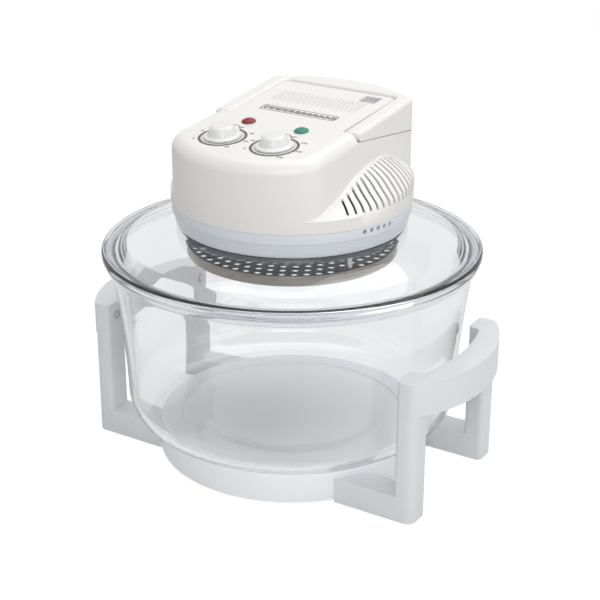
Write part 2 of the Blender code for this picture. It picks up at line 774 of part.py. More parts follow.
def make_glass_lid():
    rim_top = LID_BOTTOM + LID_RIM_HEIGHT
    edge = LID_RIM_HEIGHT / 3
    lip_outer = BOWL_NECK_RADIUS - BOWL_GLASS - LID_LIP_CLEARANCE
    lip_inner = lip_outer - LID_LIP_WIDTH
    lip_bottom = LID_BOTTOM - LID_LIP_DEPTH
    dome = lid_dome(5)
    top = filleted((
        (LID_RADIUS - LID_RIM_WIDTH / 2, rim_top, 0),
        (LID_RADIUS, rim_top, edge),
        (LID_RADIUS, LID_BOTTOM, edge / 2),
        (lip_outer, LID_BOTTOM, 0),
        (lip_outer, lip_bottom, edge / 2),
        (lip_inner, lip_bottom, edge / 2),
        (lip_inner, LID_BOTTOM, 0)), 2)
    under = [(x, z - LID_GLASS) for x, z in dome if x < lip_inner - LID_GLASS]
    hole = [(LID_HOLE_RADIUS, LID_LAND_UNDERSIDE), (LID_HOLE_RADIUS, LID_TOP)]
    return turned("glass_lid", top + under + hole + dome[::-1], CLEAR_GLASS, GLASS_STEPS)


def make_gasket():
    outer = SKIRT_BOTTOM_RADIUS - SKIRT_WALL - GAP
    low, high = LID_TOP + GAP, SKIRT_FLOOR_UNDERSIDE - GAP
    profile = ((outer - GASKET_WIDTH, high), (outer, high), (outer, low), (outer - GASKET_WIDTH, low))
    return turned("lid_gasket", profile, SILICONE, 36)


def ring_places(radius, count, first, height):
    turns = [first + FULL_TURN * i / count for i in range(count)]
    return [Vector((radius * cos(t), radius * sin(t), height)) for t in turns]


def housing_screw_places(height):
    return ring_places(HOUSING_SCREW_RING, 4, HOUSING_SCREW_TURN, height)


def make_skirt():
    """Pale ring: a tapering outer wall, a stepped lower band, a floor and a locating tongue."""
    outer, wall = SKIRT_TOP_RADIUS, SKIRT_WALL
    low = SKIRT_BOTTOM_RADIUS
    band = SKIRT_BOTTOM + SKIRT_HEIGHT * SKIRT_BAND_SHARE
    tongue_outer = BULGE_RADIUS - HEAD_WALL - TONGUE_CLEARANCE
    floor_inner = PAN_NECK_RADIUS + GAP
    profile = (
        (tongue_outer, SKIRT_TOP + SKIRT_TONGUE),
        (tongue_outer, SKIRT_TOP),
        (outer, SKIRT_TOP),
        (outer - SKIRT_STEP, band + SKIRT_STEP),
        (outer - 2 * SKIRT_STEP, band),
        (low + wall / 2, SKIRT_BOTTOM + wall * SKIRT_FOOT_SHARE),
        (low, SKIRT_BOTTOM + wall / 3),
        (low - wall / 6, SKIRT_BOTTOM),
        (low - wall, SKIRT_BOTTOM),
        (low - wall, SKIRT_FLOOR_UNDERSIDE),
        (floor_inner, SKIRT_FLOOR_UNDERSIDE),
        (floor_inner, SKIRT_FLOOR_TOP),
        (low - wall, SKIRT_FLOOR_TOP),
        (tongue_outer - wall, band),
        (tongue_outer - wall, SKIRT_TOP + SKIRT_TONGUE))
    skirt = turned("head_skirt", profile, SKIRT_BLUE, GLASS_STEPS)
    for place in ring_places(STANDOFF_RING, STANDOFF_COUNT, STANDOFF_FIRST, PAN_TOP + GAP):
        top = place.copy()
        top.z = SKIRT_FLOOR_TOP - SKIRT_FLOOR / 2
        unite(skirt, rod("boss", place, top, BOSS_RADIUS, None, 14))
    settle(skirt)
    holes = []
    for place in ring_places(STANDOFF_RING, STANDOFF_COUNT, STANDOFF_FIRST, PAN_TOP + GAP):
        down, up = place.copy(), place.copy()
        down.z -= OVERRUN / 2
        up.z += BOSS_THREAD_DEPTH + GAP
        holes.append(rod("hole", down, up, SCREW_RADIUS + GAP, None, 10))
    for place in housing_screw_places(SKIRT_FLOOR_UNDERSIDE):
        up = place + Vector((0, 0, SKIRT_FLOOR + OVERRUN))
        down = place - Vector((0, 0, OVERRUN / 4))
        holes.append(rod("hole", down, up, SCREW_RADIUS + GAP, None, 10))
    height = SKIRT_TOP - SKIRT_VENT_DROP
    for side in (0, 1):
        for i in range(SKIRT_VENT_COUNT):
            turn = SKIRT_VENT_FIRST + SKIRT_VENT_PITCH * i
            turn = pi - turn if side else turn
            direction = Vector((cos(turn), sin(turn), 0))
            near = direction * (outer - wall - OVERRUN) + Vector((0, 0, height))
            far = direction * (outer + OVERRUN) + Vector((0, 0, height))
            holes.append(rod("vent", near, far, SKIRT_VENT_RADIUS, None, 8))
    cut(skirt, joined("skirt_holes", holes))
    return settle(skirt)


def head_outline(inset):
    """Plan of the upper housing: bowed front, flat sides and a slightly bowed back."""
    front = HEAD_FRONT_RADIUS - inset
    side = HEAD_HALF_WIDTH - inset
    rear = HEAD_REAR - inset
    turn = asin(side / front)
    bow = arc(front, -pi / 2 - turn, -pi / 2 + turn, 11)
    corners = [(x, y, 0) for x, y in bow]
    corners[0] = (*bow[0], HEAD_CORNER_ROUND)
    corners[-1] = (*bow[-1], HEAD_CORNER_ROUND)
    sag = HEAD_REAR_SAG
    rear_radius = (side ** 2 + sag ** 2) / (2 * sag)
    rear_turn = asin(side / rear_radius)
    back = arc(rear_radius, pi / 2 - rear_turn, pi / 2 + rear_turn, 6, (0, rear - rear_radius))
    back = [(x, y, 0) for x, y in back]
    back[0] = (*back[0][:2], HEAD_REAR_ROUND)
    back[-1] = (*back[-1][:2], HEAD_REAR_ROUND)
    return filleted(corners + back, 4)


def sloped(obj, split, height, slope):
    """Lay every point above the split height on a plane that slopes along Y."""
    for vert in obj.data.vertices:
        if vert.co.z > split:
            vert.co.z = height + slope * vert.co.y
    return obj


def bevel_top(obj, width, segments):
    """Round the edges round the top face of a raised outline."""
    work = bmesh.new()
    work.from_mesh(obj.data)
    bmesh.ops.dissolve_limit(work, angle_limit=OUTLINE_FLAT_ANGLE, verts=work.verts, edges=work.edges)
    top = max(work.faces, key=lambda face: face.calc_center_median().z)
    bmesh.ops.bevel(work, geom=list(top.edges), offset=width, offset_type="OFFSET", segments=segments,
                    profile=0.5, affect="EDGES", clamp_overlap=True)
    materials = list(obj.data.materials)
    obj.data = mesh_from(obj.name, work)
    for material in materials:
        obj.data.materials.append(material)
    return obj


def head_block(name, inset, lower, group):
    """Upper housing block with a sloping top and a rounded shoulder."""
    block = prism(name, [head_outline(inset)], lower, PANEL_ZERO, None, group)
    drop = inset * sqrt(1 + PANEL_SLOPE ** 2)
    middle = (lower + PANEL_ZERO) / 2
    sloped(block, middle, PANEL_ZERO - drop, PANEL_SLOPE)
    return bevel_top(block, HEAD_SHOULDER - inset / 2, 3)


def head_bulge(name, inset, lower, group):
    """Round foot of the housing that swells out past the flat sides and closes over them."""
    radius = BULGE_RADIUS
    rings = [(lower, radius - inset, radius - inset, 0)]
    for rise, wide, deep, shift in BULGE_LEVEL_SHARES:
        half = HEAD_HALF_WIDTH + (radius - HEAD_HALF_WIDTH) * wide - inset
        height = BULGE_BASE + BULGE_RISE * rise - inset * rise
        rings.append((height, half, radius * deep - inset, radius * shift))
    count = 36
    work = bmesh.new()
    loops = []
    for height, half_x, half_y, shift in rings:
        turns = [FULL_TURN * (i + 0.5) / count for i in range(count)]
        loops.append([work.verts.new((half_x * cos(t), shift + half_y * sin(t), height)) for t in turns])
    for below, above in zip(loops, loops[1:]):
        for i in range(count):
            j = (i + 1) % count
            work.faces.new((below[i], below[j], above[j], above[i]))
    work.faces.new(loops[0][::-1])
    work.faces.new(loops[-1])
    return add_object(name, mesh_from(name, work), None, group)


def seam_height(y):
    """Height of the step that the folded carry handle lies on."""
    return HANDLE_PIVOT_TOP - HANDLE_SEAM_DROP + HANDLE_SEAM_SLOPE * (y - HANDLE_PIVOT_BACK)


def handle_inner_outline(inset):
    """Plan of the housing's crown between the arms of the carry handle."""
    side = HEAD_HALF_WIDTH - HANDLE_ARM_WIDTH - inset
    rear = HEAD_REAR - HANDLE_BRIDGE_WIDTH - inset
    return side, rear


def handle_recess(name, grow, group=CUTTERS):
    """U-shaped step round the crown of the housing, larger by grow on its inner sides."""
    side, rear = handle_inner_outline(grow)
    out = HEAD_HALF_WIDTH + OVERRUN
    back = HEAD_REAR + OVERRUN
    front = HANDLE_SHAPE_FRONT - HANDLE_END_CLEARANCE - grow
    outline = filleted((
        (out, front, 0),
        (out, back, 0),
        (-out, back, 0),
        (-out, front, 0),
        (-side, front, 0),
        (-side, rear, HANDLE_INNER_ROUND),
        (side, rear, HANDLE_INNER_ROUND),
        (side, front, 0)), 3)
    top = PANEL_ZERO + PANEL_SLOPE * HEAD_REAR + 2 * OVERRUN
    recess = prism(name, [outline], 0, top, None, group)
    for vert in recess.data.vertices:
        if vert.co.z < top / 2:
            vert.co.z = seam_height(vert.co.y) - grow
    return recess


def on_panel(x, y):
    return Vector((x, y, PANEL_ZERO + PANEL_SLOPE * y))


def panel_matrix(place):
    """Frame whose Z axis stands square on the sloping panel at a point of it."""
    return Matrix.Translation(place) @ Matrix.Rotation(PANEL_TILT, 4, "X")


def panel_rod(name, place, low, high, radius, sides, material=None, group=CUTTERS):
    piece = rod(name, (0, 0, low), (0, 0, high), radius, material, sides, group)
    piece.data.transform(panel_matrix(place))
    return piece


def panel_box(name, place, size, low, high, material=None, group=CUTTERS):
    x, y = size[0] / 2, size[1] / 2
    piece = box(name, (-x, -y, low), (x, y, high), material, group)
    piece.data.transform(panel_matrix(place))
    return piece


def control_places():
    half = KNOB_SPACING / 2
    return on_panel(-half, KNOB_BACK), on_panel(half, KNOB_BACK)


def lamp_places():
    half = LAMP_SPACING / 2
    return on_panel(-half, LAMP_BACK), on_panel(half, LAMP_BACK)


def louvre_cutters():
    """Thin upright plates, fanned about a point behind the middle, that cut both bulges."""
    plates = []
    low = BULGE_BASE + LOUVRE_LIFT
    high = BULGE_BASE + BULGE_RISE
    for side in (0, 1):
        for i in range(LOUVRE_COUNT):
            y = LOUVRE_FIRST + LOUVRE_PITCH * i
            x = sqrt(BULGE_RADIUS ** 2 - y ** 2)
            turn = atan2(y - LOUVRE_CENTRE, x)
            start = (HEAD_HALF_WIDTH + LOUVRE_MARGIN) / cos(turn)
            reach = BULGE_RADIUS + HEAD_WALL + LOUVRE_CENTRE
            half = LOUVRE_WIDTH / 2
            plate = box("louvre", (start, -half, low), (reach, half, high), None, CUTTERS)
            move = Matrix.Translation((0, LOUVRE_CENTRE, 0)) @ Matrix.Rotation(turn, 4, "Z")
            flip = Matrix.Diagonal((-1 if side else 1, 1, 1, 1))
            plate.data.transform(flip @ move)
            if side:
                plate.data.flip_normals()
            plates.append(plate)
    return plates


def top_slot_cutters():
    slots = []
    for i in range(TOP_SLOT_COUNT):
        x = (i - (TOP_SLOT_COUNT - 1) / 2) * TOP_SLOT_PITCH
        place = on_panel(x, TOP_SLOT_FRONT + TOP_SLOT_LENGTH / 2)
        size = (TOP_SLOT_WIDTH, TOP_SLOT_LENGTH)
        slots.append(panel_box("slot", place, size, -HEAD_WALL - OVERRUN, OVERRUN))
    return slots


def pin_rods(radius, inner, outer):
    """Rods on the carry handle's axis, one on each side, between two distances from the middle."""
    place = handle_pivot()
    return [rod("pin", (side * inner, place.y, place.z), (side * outer, place.y, place.z), radius,
                None, 12) for side in (1, -1)]


def handle_pivot():
    height = (HANDLE_PIVOT_TOP + seam_height(HANDLE_PIVOT_BACK) + HANDLE_CLEARANCE) / 2
    return Vector((0, HANDLE_PIVOT_BACK, height))


def bushing_place():
    return Vector((BUSHING_ACROSS, 0, HOUSING_BOTTOM + BUSHING_LIFT))


def rear_wall_at(x):
    """Distance back to the outside of the rear wall at a given x."""
    sag, side = HEAD_REAR_SAG, HEAD_HALF_WIDTH
    radius = (side ** 2 + sag ** 2) / (2 * sag)
    return HEAD_REAR - radius + sqrt(radius ** 2 - x ** 2)


def make_housing():
    """White moulded shell, open underneath, with louvres, slots and holes for its controls."""
    shell = head_block("head_housing", 0, HOUSING_BOTTOM, PARTS)
    shell.data.materials.append(WARM_WHITE)
    unite(shell, head_bulge("bulge", 0, HOUSING_BOTTOM, CUTTERS))
    cut(shell, handle_recess("recess", 0))
    settle(shell)
    core = head_block("core", HEAD_WALL, HOUSING_BOTTOM - OVERRUN, CUTTERS)
    unite(core, head_bulge("core_bulge", HEAD_WALL, HOUSING_BOTTOM - OVERRUN, CUTTERS))
    cut(core, handle_recess("core_recess", HEAD_WALL))
    settle(core)
    cut(shell, core)
    settle(shell)
    columns = []
    for place in housing_screw_places(SKIRT_FLOOR_TOP + GAP):
        roof = on_panel(place.x, place.y).z
        if place.y > HANDLE_SHAPE_FRONT:
            roof = seam_height(place.y)
        top = Vector((place.x, place.y, roof - HEAD_WALL / 2))
        columns.append(rod("column", place, top, COLUMN_RADIUS, None, 8))
    unite(shell, joined("columns", columns))
    settle(shell)
    holes = louvre_cutters() + top_slot_cutters()
    for place in control_places():
        holes.append(panel_rod("hole", place, -HEAD_WALL - OVERRUN, OVERRUN,
                               SPINDLE_RADIUS + SPINDLE_CLEARANCE, 14))
    for place in lamp_places():
        holes.append(panel_rod("hole", place, -HEAD_WALL - OVERRUN, OVERRUN,
                               LAMP_STEM_RADIUS + GAP, 14))
    window = on_panel(*SWITCH_CENTRE)
    holes.append(panel_box("window", window, SWITCH_WINDOW, -HEAD_WALL - OVERRUN, OVERRUN))
    wall = handle_inner_outline(0)[0]
    holes += pin_rods(PIN_RADIUS + GAP, wall - HEAD_WALL - OVERRUN, wall + OVERRUN)
    place = bushing_place()
    depth = rear_wall_at(place.x)
    holes.append(rod("hole", (place.x, depth - HEAD_WALL - 2 * OVERRUN, place.z),
                     (place.x, depth + OVERRUN, place.z), BUSHING_RADIUS + GAP, None, 16))
    cut(shell, joined("housing_holes", holes))
    settle(shell)
    bores = []
    for place in housing_screw_places(SKIRT_FLOOR_TOP):
        up = place + Vector((0, 0, SCREW_LENGTH))
        bores.append(rod("bore", place - Vector((0, 0, OVERRUN)), up, SCREW_RADIUS + GAP, None, 10))
    cut(shell, joined("housing_bores", bores))
    return settle(shell)


def make_housing_screws():
    for i, place in enumerate(housing_screw_places(SKIRT_FLOOR_UNDERSIDE)):
        make_screw("housing_screw_%d" % (i + 1), place, (0, 0, 1), SCREW_LENGTH)


def make_carry_handle():
    """U-shaped handle that folds down round the back of the housing, flush with its sides."""
    side = handle_inner_outline(-HANDLE_SIDE_CLEARANCE)[0]
    rear = handle_inner_outline(-HANDLE_REAR_CLEARANCE)[1]
    outer = [p for p in head_outline(0) if p[1] > HANDLE_SHAPE_FRONT]
    right = [(HEAD_HALF_WIDTH, HANDLE_SHAPE_FRONT, 0)]
    left = [(-HEAD_HALF_WIDTH, HANDLE_SHAPE_FRONT, 0)]
    inner = [
        (-side, HANDLE_SHAPE_FRONT, 0),
        (-side, rear, HANDLE_INNER_ROUND),
        (side, rear, HANDLE_INNER_ROUND),
        (side, HANDLE_SHAPE_FRONT, 0)]
    outline = filleted(right + [(x, y, 0) for x, y in outer] + left + inner, 3)
    handle = prism("carry_handle", [outline], 0, HANDLE_PIVOT_TOP, WARM_WHITE)
    for vert in handle.data.vertices:
        y = vert.co.y
        if vert.co.z < HANDLE_PIVOT_TOP / 2:
            vert.co.z = seam_height(y) + HANDLE_CLEARANCE
        else:
            vert.co.z = HANDLE_PIVOT_TOP + HANDLE_TOP_SLOPE * (y - HANDLE_PIVOT_BACK)
    bevel_top(handle, HANDLE_EDGE_ROUND, 3)
    round_handle_ends(handle)
    pin_end = side + PIN_ARM_DEPTH + GAP
    cut(handle, joined("pin_holes", pin_rods(PIN_RADIUS + GAP, side - OVERRUN, pin_end)))
    settle(handle)
    set_origin(handle, handle_pivot())
    return handle


def round_handle_ends(handle):
    """Round the lower front edges of the arms, so that they clear the step as they turn."""
    work = bmesh.new()
    work.from_mesh(handle.data)
    low = seam_height(HANDLE_SHAPE_FRONT) + HANDLE_CLEARANCE
    edges = []
    for edge in work.edges:
        ends = [v.co for v in edge.verts]
        at_front = all(abs(p.y - HANDLE_SHAPE_FRONT) < GAP for p in ends)
        if at_front and all(abs(p.z - low) < GAP for p in ends):
            edges.append(edge)
    bmesh.ops.bevel(work, geom=edges, offset=HANDLE_END_ROUND, offset_type="OFFSET", segments=3,
                    profile=0.5, affect="EDGES", clamp_overlap=True)
    handle.data = mesh_from(handle.name, work)
    handle.data.materials.append(WARM_WHITE)


def make_handle_pins():
    """Pins pressed into the arms of the carry handle, turning in the housing's crown."""
    place = handle_pivot()
    wall = handle_inner_outline(0)[0]
    inner = wall - HEAD_WALL
    outer = wall + HANDLE_SIDE_CLEARANCE + PIN_ARM_DEPTH
    for side, label in ((1, "right"), (-1, "left")):
        pin = rod("handle_pin_" + label, (side * inner, place.y, place.z),
                  (side * outer, place.y, place.z), PIN_RADIUS, STEEL, 12, PARTS)
        set_origin(pin, place)


def make_knob(name, place):
    """Turned knob with a raised grip between two scooped sides."""
    low = KNOB_CLEARANCE
    top_radius = KNOB_RADIUS * KNOB_TOP_SHARE
    profile = filleted((
        (0, KNOB_HEIGHT, 0),
        (top_radius, KNOB_HEIGHT, KNOB_FLANGE / 2),
        (KNOB_RADIUS, KNOB_FLANGE + low, KNOB_FLANGE / 2),
        (KNOB_RADIUS, low, 0),
        (0, low, 0)), 3)
    knob = turned(name, profile, WARM_WHITE, 32)
    scoops = []
    for side in (1, -1):
        x = side * (KNOB_GRIP_HALF + KNOB_SCOOP_RADIUS)
        z = KNOB_FLANGE + low + KNOB_SCOOP_RADIUS
        scoops.append(rod("scoop", (x, -KNOB_RADIUS - OVERRUN, z), (x, KNOB_RADIUS + OVERRUN, z),
                          KNOB_SCOOP_RADIUS, None, 40))
    cut(knob, joined(name + "_scoops", scoops))
    settle(knob)
    bore = rod("bore", (0, 0, low - OVERRUN), (0, 0, SPINDLE_KNOB_DEPTH + GAP),
               SPINDLE_RADIUS + GAP, None, 12)
    cut(knob, bore)
    settle(knob)
    knob.matrix_world = panel_matrix(place)
    return knob


def make_spindle(name, place):
    spindle = rod(name, (0, 0, -HEAD_WALL - SPINDLE_UNIT_DEPTH), (0, 0, SPINDLE_KNOB_DEPTH),
                  SPINDLE_RADIUS, STEEL, 12, PARTS)
    spindle.matrix_world = panel_matrix(place)
    return spindle


def make_controls():
    timer_place, thermostat_place = control_places()
    make_knob("timer_knob", timer_place)
    make_knob("thermostat_knob", thermostat_place)
    make_spindle("timer_spindle", timer_place)
    make_spindle("thermostat_spindle", thermostat_place)
    top = -HEAD_WALL - GAP
    timer = panel_box("timer_unit", timer_place, TIMER_SIZE[:2], top - TIMER_SIZE[2], top,
                      DARK_PLASTIC, PARTS)
    thermostat = panel_rod("thermostat_unit", thermostat_place, top - THERMOSTAT_DEPTH, top,
                           THERMOSTAT_RADIUS, 24, REFLECTOR, PARTS)
    for unit, place in ((timer, timer_place), (thermostat, thermostat_place)):
        bore = panel_rod(unit.name + "_bore", place, top - SPINDLE_UNIT_DEPTH, OVERRUN,
                         SPINDLE_RADIUS + GAP, 12)
        cut(unit, bore)
        settle(unit)


def make_lamp(name, place, material):
    """Lens with a shallow dome, a thin flange on the panel and a stem through it."""
    dome_radius = (LAMP_RADIUS ** 2 + LAMP_DOME ** 2) / (2 * LAMP_DOME)
    reach = asin(LAMP_RADIUS / dome_radius)
    top = LAMP_FLANGE + LAMP_DOME
    profile = [(dome_radius * sin(reach * i / 4), top - dome_radius * (1 - cos(reach * i / 4)))
               for i in range(5)]
    profile[0] = (0, top)
    profile += [
        (LAMP_RADIUS, GAP),
        (LAMP_STEM_RADIUS, GAP),
        (LAMP_STEM_RADIUS, -LAMP_STEM_LENGTH),
        (0, -LAMP_STEM_LENGTH)]
    lamp = turned(name, profile, material, 16)
    lamp.matrix_world = panel_matrix(place)
    return lamp


def make_safety_switch():
    """Cap in the window of the top, on a stem that enters the switch body below."""
    place = on_panel(*SWITCH_CENTRE)
    window = (SWITCH_WINDOW[0] - 2 * GAP, SWITCH_WINDOW[1] - 2 * GAP)
    top = -SWITCH_CAP_SUNK
    low = top - SWITCH_CAP_THICKNESS
    cap = panel_box("switch_cap", place, window, low, top, COOL_GREY, PARTS)
    stem_end = -HEAD_WALL - SWITCH_ROOM - SWITCH_STEM_DEPTH
    stem = panel_rod("stem", place, stem_end, low + SWITCH_CAP_THICKNESS / 2, SWITCH_STEM_RADIUS, 12)
    unite(cap, stem)
    settle(cap)
    body_top = -HEAD_WALL - SWITCH_ROOM
    body = panel_box("safety_switch", place, SWITCH_BODY[:2], body_top - SWITCH_BODY[2], body_top,
                     DARK_PLASTIC, PARTS)
    ear_low = body_top - SWITCH_BODY[2] / 2
    for side in (1, -1):
        offset = side * (SWITCH_BODY[0] + SWITCH_CAP_FLANGE) / 2
        ear_place = on_panel(place.x + offset, place.y)
        ear_size = (SWITCH_CAP_FLANGE * 2, SWITCH_BODY[1] * EAR_WIDTH_SHARE)
        ear = panel_box("ear", ear_place, ear_size, ear_low, -HEAD_WALL - GAP)
        unite(body, ear)
    settle(body)
    cut(body, panel_rod("switch_bore", place, stem_end - SWITCH_TRAVEL - GAP, body_top + OVERRUN,
                        SWITCH_STEM_RADIUS + GAP, 12))
    settle(body)


def make_bushing():
    """Ring in the back wall where the power lead enters."""
    place = bushing_place()
    flange = BUSHING_FLANGE
    rim = BUSHING_RADIUS + flange
    profile = (
        (BUSHING_BORE, flange + GAP),
        (rim, flange + GAP),
        (rim, GAP),
        (BUSHING_RADIUS, GAP),
        (BUSHING_RADIUS, GAP - BUSHING_LENGTH),
        (BUSHING_BORE, GAP - BUSHING_LENGTH))
    bushing = turned("cord_bushing", profile, DARK_PLASTIC, 14)
    settle(bushing)
    bushing.data.transform(Matrix.Rotation(-pi / 2, 4, "X"))
    bushing.location = (place.x, rear_wall_at(abs(place.x) - rim), place.z)
    return bushing


def make_pan():
    """Reflector pan: its flange clamps the lid from below and its crown roofs the heater."""
    neck, sheet = PAN_NECK_RADIUS, PAN_SHEET
    profile = (
        (PAN_SHAFT_HOLE, PAN_CROWN),
        (neck, PAN_CROWN),
        (neck, PAN_TOP),
        (PAN_FLANGE_RADIUS, PAN_TOP),
        (PAN_FLANGE_RADIUS, PAN_UNDERSIDE),
        (neck - sheet, PAN_UNDERSIDE),
        (neck - sheet, PAN_CROWN - sheet),
        (PAN_SHAFT_HOLE, PAN_CROWN - sheet))
    pan = turned("reflector_pan", profile, REFLECTOR, GLASS_STEPS)
    holes = []
    for place in ring_places(STANDOFF_RING, STANDOFF_COUNT, STANDOFF_FIRST, PAN_TOP):
        shift = Vector((0, 0, OVERRUN / 2))
        holes.append(rod("hole", place - shift, place + shift, SCREW_RADIUS + GAP, None, 10))
    cut(pan, joined("pan_holes", holes))
    return settle(pan)


def polygon(x, y, radius, sides):
    turns = [FULL_TURN * (i + 0.5) / sides for i in range(sides)]
    return [(x + radius * cos(t), y + radius * sin(t)) for t in turns]


def guard_holes():
    """Hole centres on rings, left out beside the three standoffs."""
    centres = []
    inner = GUARD_RADIUS - GUARD_SHEET
    stays = ring_places(STANDOFF_RING, STANDOFF_COUNT, STANDOFF_FIRST, 0)
    rings = [(share, GUARD_HOLE_PITCH) for share in GUARD_RING_SHARES]
    rings += [(share, GUARD_CENTRE_PITCH) for share in GUARD_CENTRE_SHARES]
    for number, (share, pitch) in enumerate(rings):
        radius = inner * share
        count = max(3, round(FULL_TURN * radius / pitch))
        for i in range(count):
            turn = FULL_TURN * (i + number / 2) / count
            x, y = radius * cos(turn), radius * sin(turn)
            if all(hypot(x - s.x, y - s.y) > GUARD_SPOKE_HALF for s in stays):
                centres.append((x, y))
    return centres


def make_guard():
    """Perforated disc with a turned-down rim, hung under the heater on three standoffs."""
    rim_inner = GUARD_RADIUS - GUARD_SHEET
    disc = turned("guard_grille", (
        (0, GUARD_TOP),
        (GUARD_RADIUS - GUARD_SHEET / 2, GUARD_TOP),
        (GUARD_RADIUS, GUARD_TOP - GUARD_SHEET / 2),
        (GUARD_RADIUS, GUARD_TOP - GUARD_RIM),
        (rim_inner, GUARD_TOP - GUARD_RIM),
        (rim_inner, GUARD_UNDERSIDE),
        (0, GUARD_UNDERSIDE)), DARK_STEEL, GLASS_STEPS)
    low, high = GUARD_UNDERSIDE - GUARD_SHEET, GUARD_TOP + GUARD_SHEET
    loops = [polygon(x, y, GUARD_HOLE_RADIUS, GUARD_HOLE_SIDES) for x, y in guard_holes()]
    for place in ring_places(STANDOFF_RING, STANDOFF_COUNT, STANDOFF_FIRST, 0):
        loops.append(polygon(place.x, place.y, SCREW_RADIUS + GAP, 8))
    cut(disc, prism("guard_holes", loops, low, high, None, CUTTERS))
    return settle(disc)


def make_standoffs():
    """Spacers from the pan's flange down to the guard, with a cap nut under each."""
    for i, place in enumerate(ring_places(STANDOFF_RING, STANDOFF_COUNT, STANDOFF_FIRST, 0)):
        low, high = GUARD_TOP + GAP, PAN_UNDERSIDE - GAP
        tail = GUARD_UNDERSIDE - NUT_HEIGHT
        thread = PAN_TOP + GAP + BOSS_THREAD_DEPTH
        spacer = rod("standoff_%d" % (i + 1), place + Vector((0, 0, low)),
                     place + Vector((0, 0, high)), STANDOFF_RADIUS, STEEL, 12, PARTS)
        stem = rod("stem", place + Vector((0, 0, tail)), place + Vector((0, 0, thread)),
                   SCREW_RADIUS, None, 10)
        unite(spacer, stem)
        settle(spacer)
        nut_top = GUARD_UNDERSIDE - GAP
        nut = rod("guard_nut_%d" % (i + 1), place + Vector((0, 0, nut_top - NUT_HEIGHT - GAP * 4)),
                  place + Vector((0, 0, nut_top)), NUT_RADIUS, STEEL, 6, PARTS)
        bore = rod("bore", place + Vector((0, 0, tail - GAP)),
                   place + Vector((0, 0, nut_top + OVERRUN)), SCREW_RADIUS + GAP, None, 10)
        cut(nut, bore)
        settle(nut)


def make_heater():
    """Ring of quartz tube, open at the back, whose ends turn up into two ceramic sockets."""
    height = PAN_CROWN - PAN_SHEET - HEATER_DROP - HEATER_TUBE
    start = pi / 2 + HEATER_OPENING
    ring = arc(HEATER_RADIUS, start, start + FULL_TURN - 2 * HEATER_OPENING, 32)
    points = [(x, y, height) for x, y in ring]
    top = PAN_CROWN - PAN_SHEET - SOCKET_SIZE[2] - 2 * GAP
    first = (points[0][0], points[0][1], top)
    last = (points[-1][0], points[-1][1], top)
    heater = tube("heater_tube", [first] + points + [last], HEATER_TUBE, QUARTZ, 1)
    for label, place in (("left", first), ("right", last)):
        x, y = SOCKET_SIZE[0] / 2, SOCKET_SIZE[1] / 2
        low = top + GAP
        box("heater_socket_" + label, (place[0] - x, place[1] - y, low),
            (place[0] + x, place[1] + y, low + SOCKET_SIZE[2]), CERAMIC)
    return heater


def make_fan(name, radius, height, blades, bottom, material, twist):
    """Hub with a thin disc and flat blades that stand on it."""
    hub_height = height + FAN_PLATE
    bore = SHAFT_RADIUS + GAP
    profile = (
        (bore, bottom + hub_height),
        (FAN_HUB_RADIUS, bottom + hub_height),
        (FAN_HUB_RADIUS, bottom + FAN_PLATE),
        (radius * FAN_DISC_SHARE, bottom + FAN_PLATE),
        (radius * FAN_DISC_SHARE, bottom),
        (bore, bottom))
    fan = turned(name, profile, material, 24)
    plates = []
    for i in range(blades):
        blade = box("blade", (FAN_HUB_RADIUS - FAN_PLATE, -FAN_PLATE / 2, bottom + FAN_PLATE / 2),
                    (radius * FAN_BLADE_SHARE, FAN_PLATE / 2, bottom + height), None, CUTTERS)
        lean = Matrix.Translation((FAN_HUB_RADIUS, 0, 0)) @ Matrix.Rotation(twist, 4, "Z")
        lean = lean @ Matrix.Translation((-FAN_HUB_RADIUS, 0, 0))
        blade.data.transform(Matrix.Rotation(FULL_TURN * i / blades, 4, "Z") @ lean)
        plates.append(blade)
    unite(fan, joined(name + "_blades", plates))
    return settle(fan)


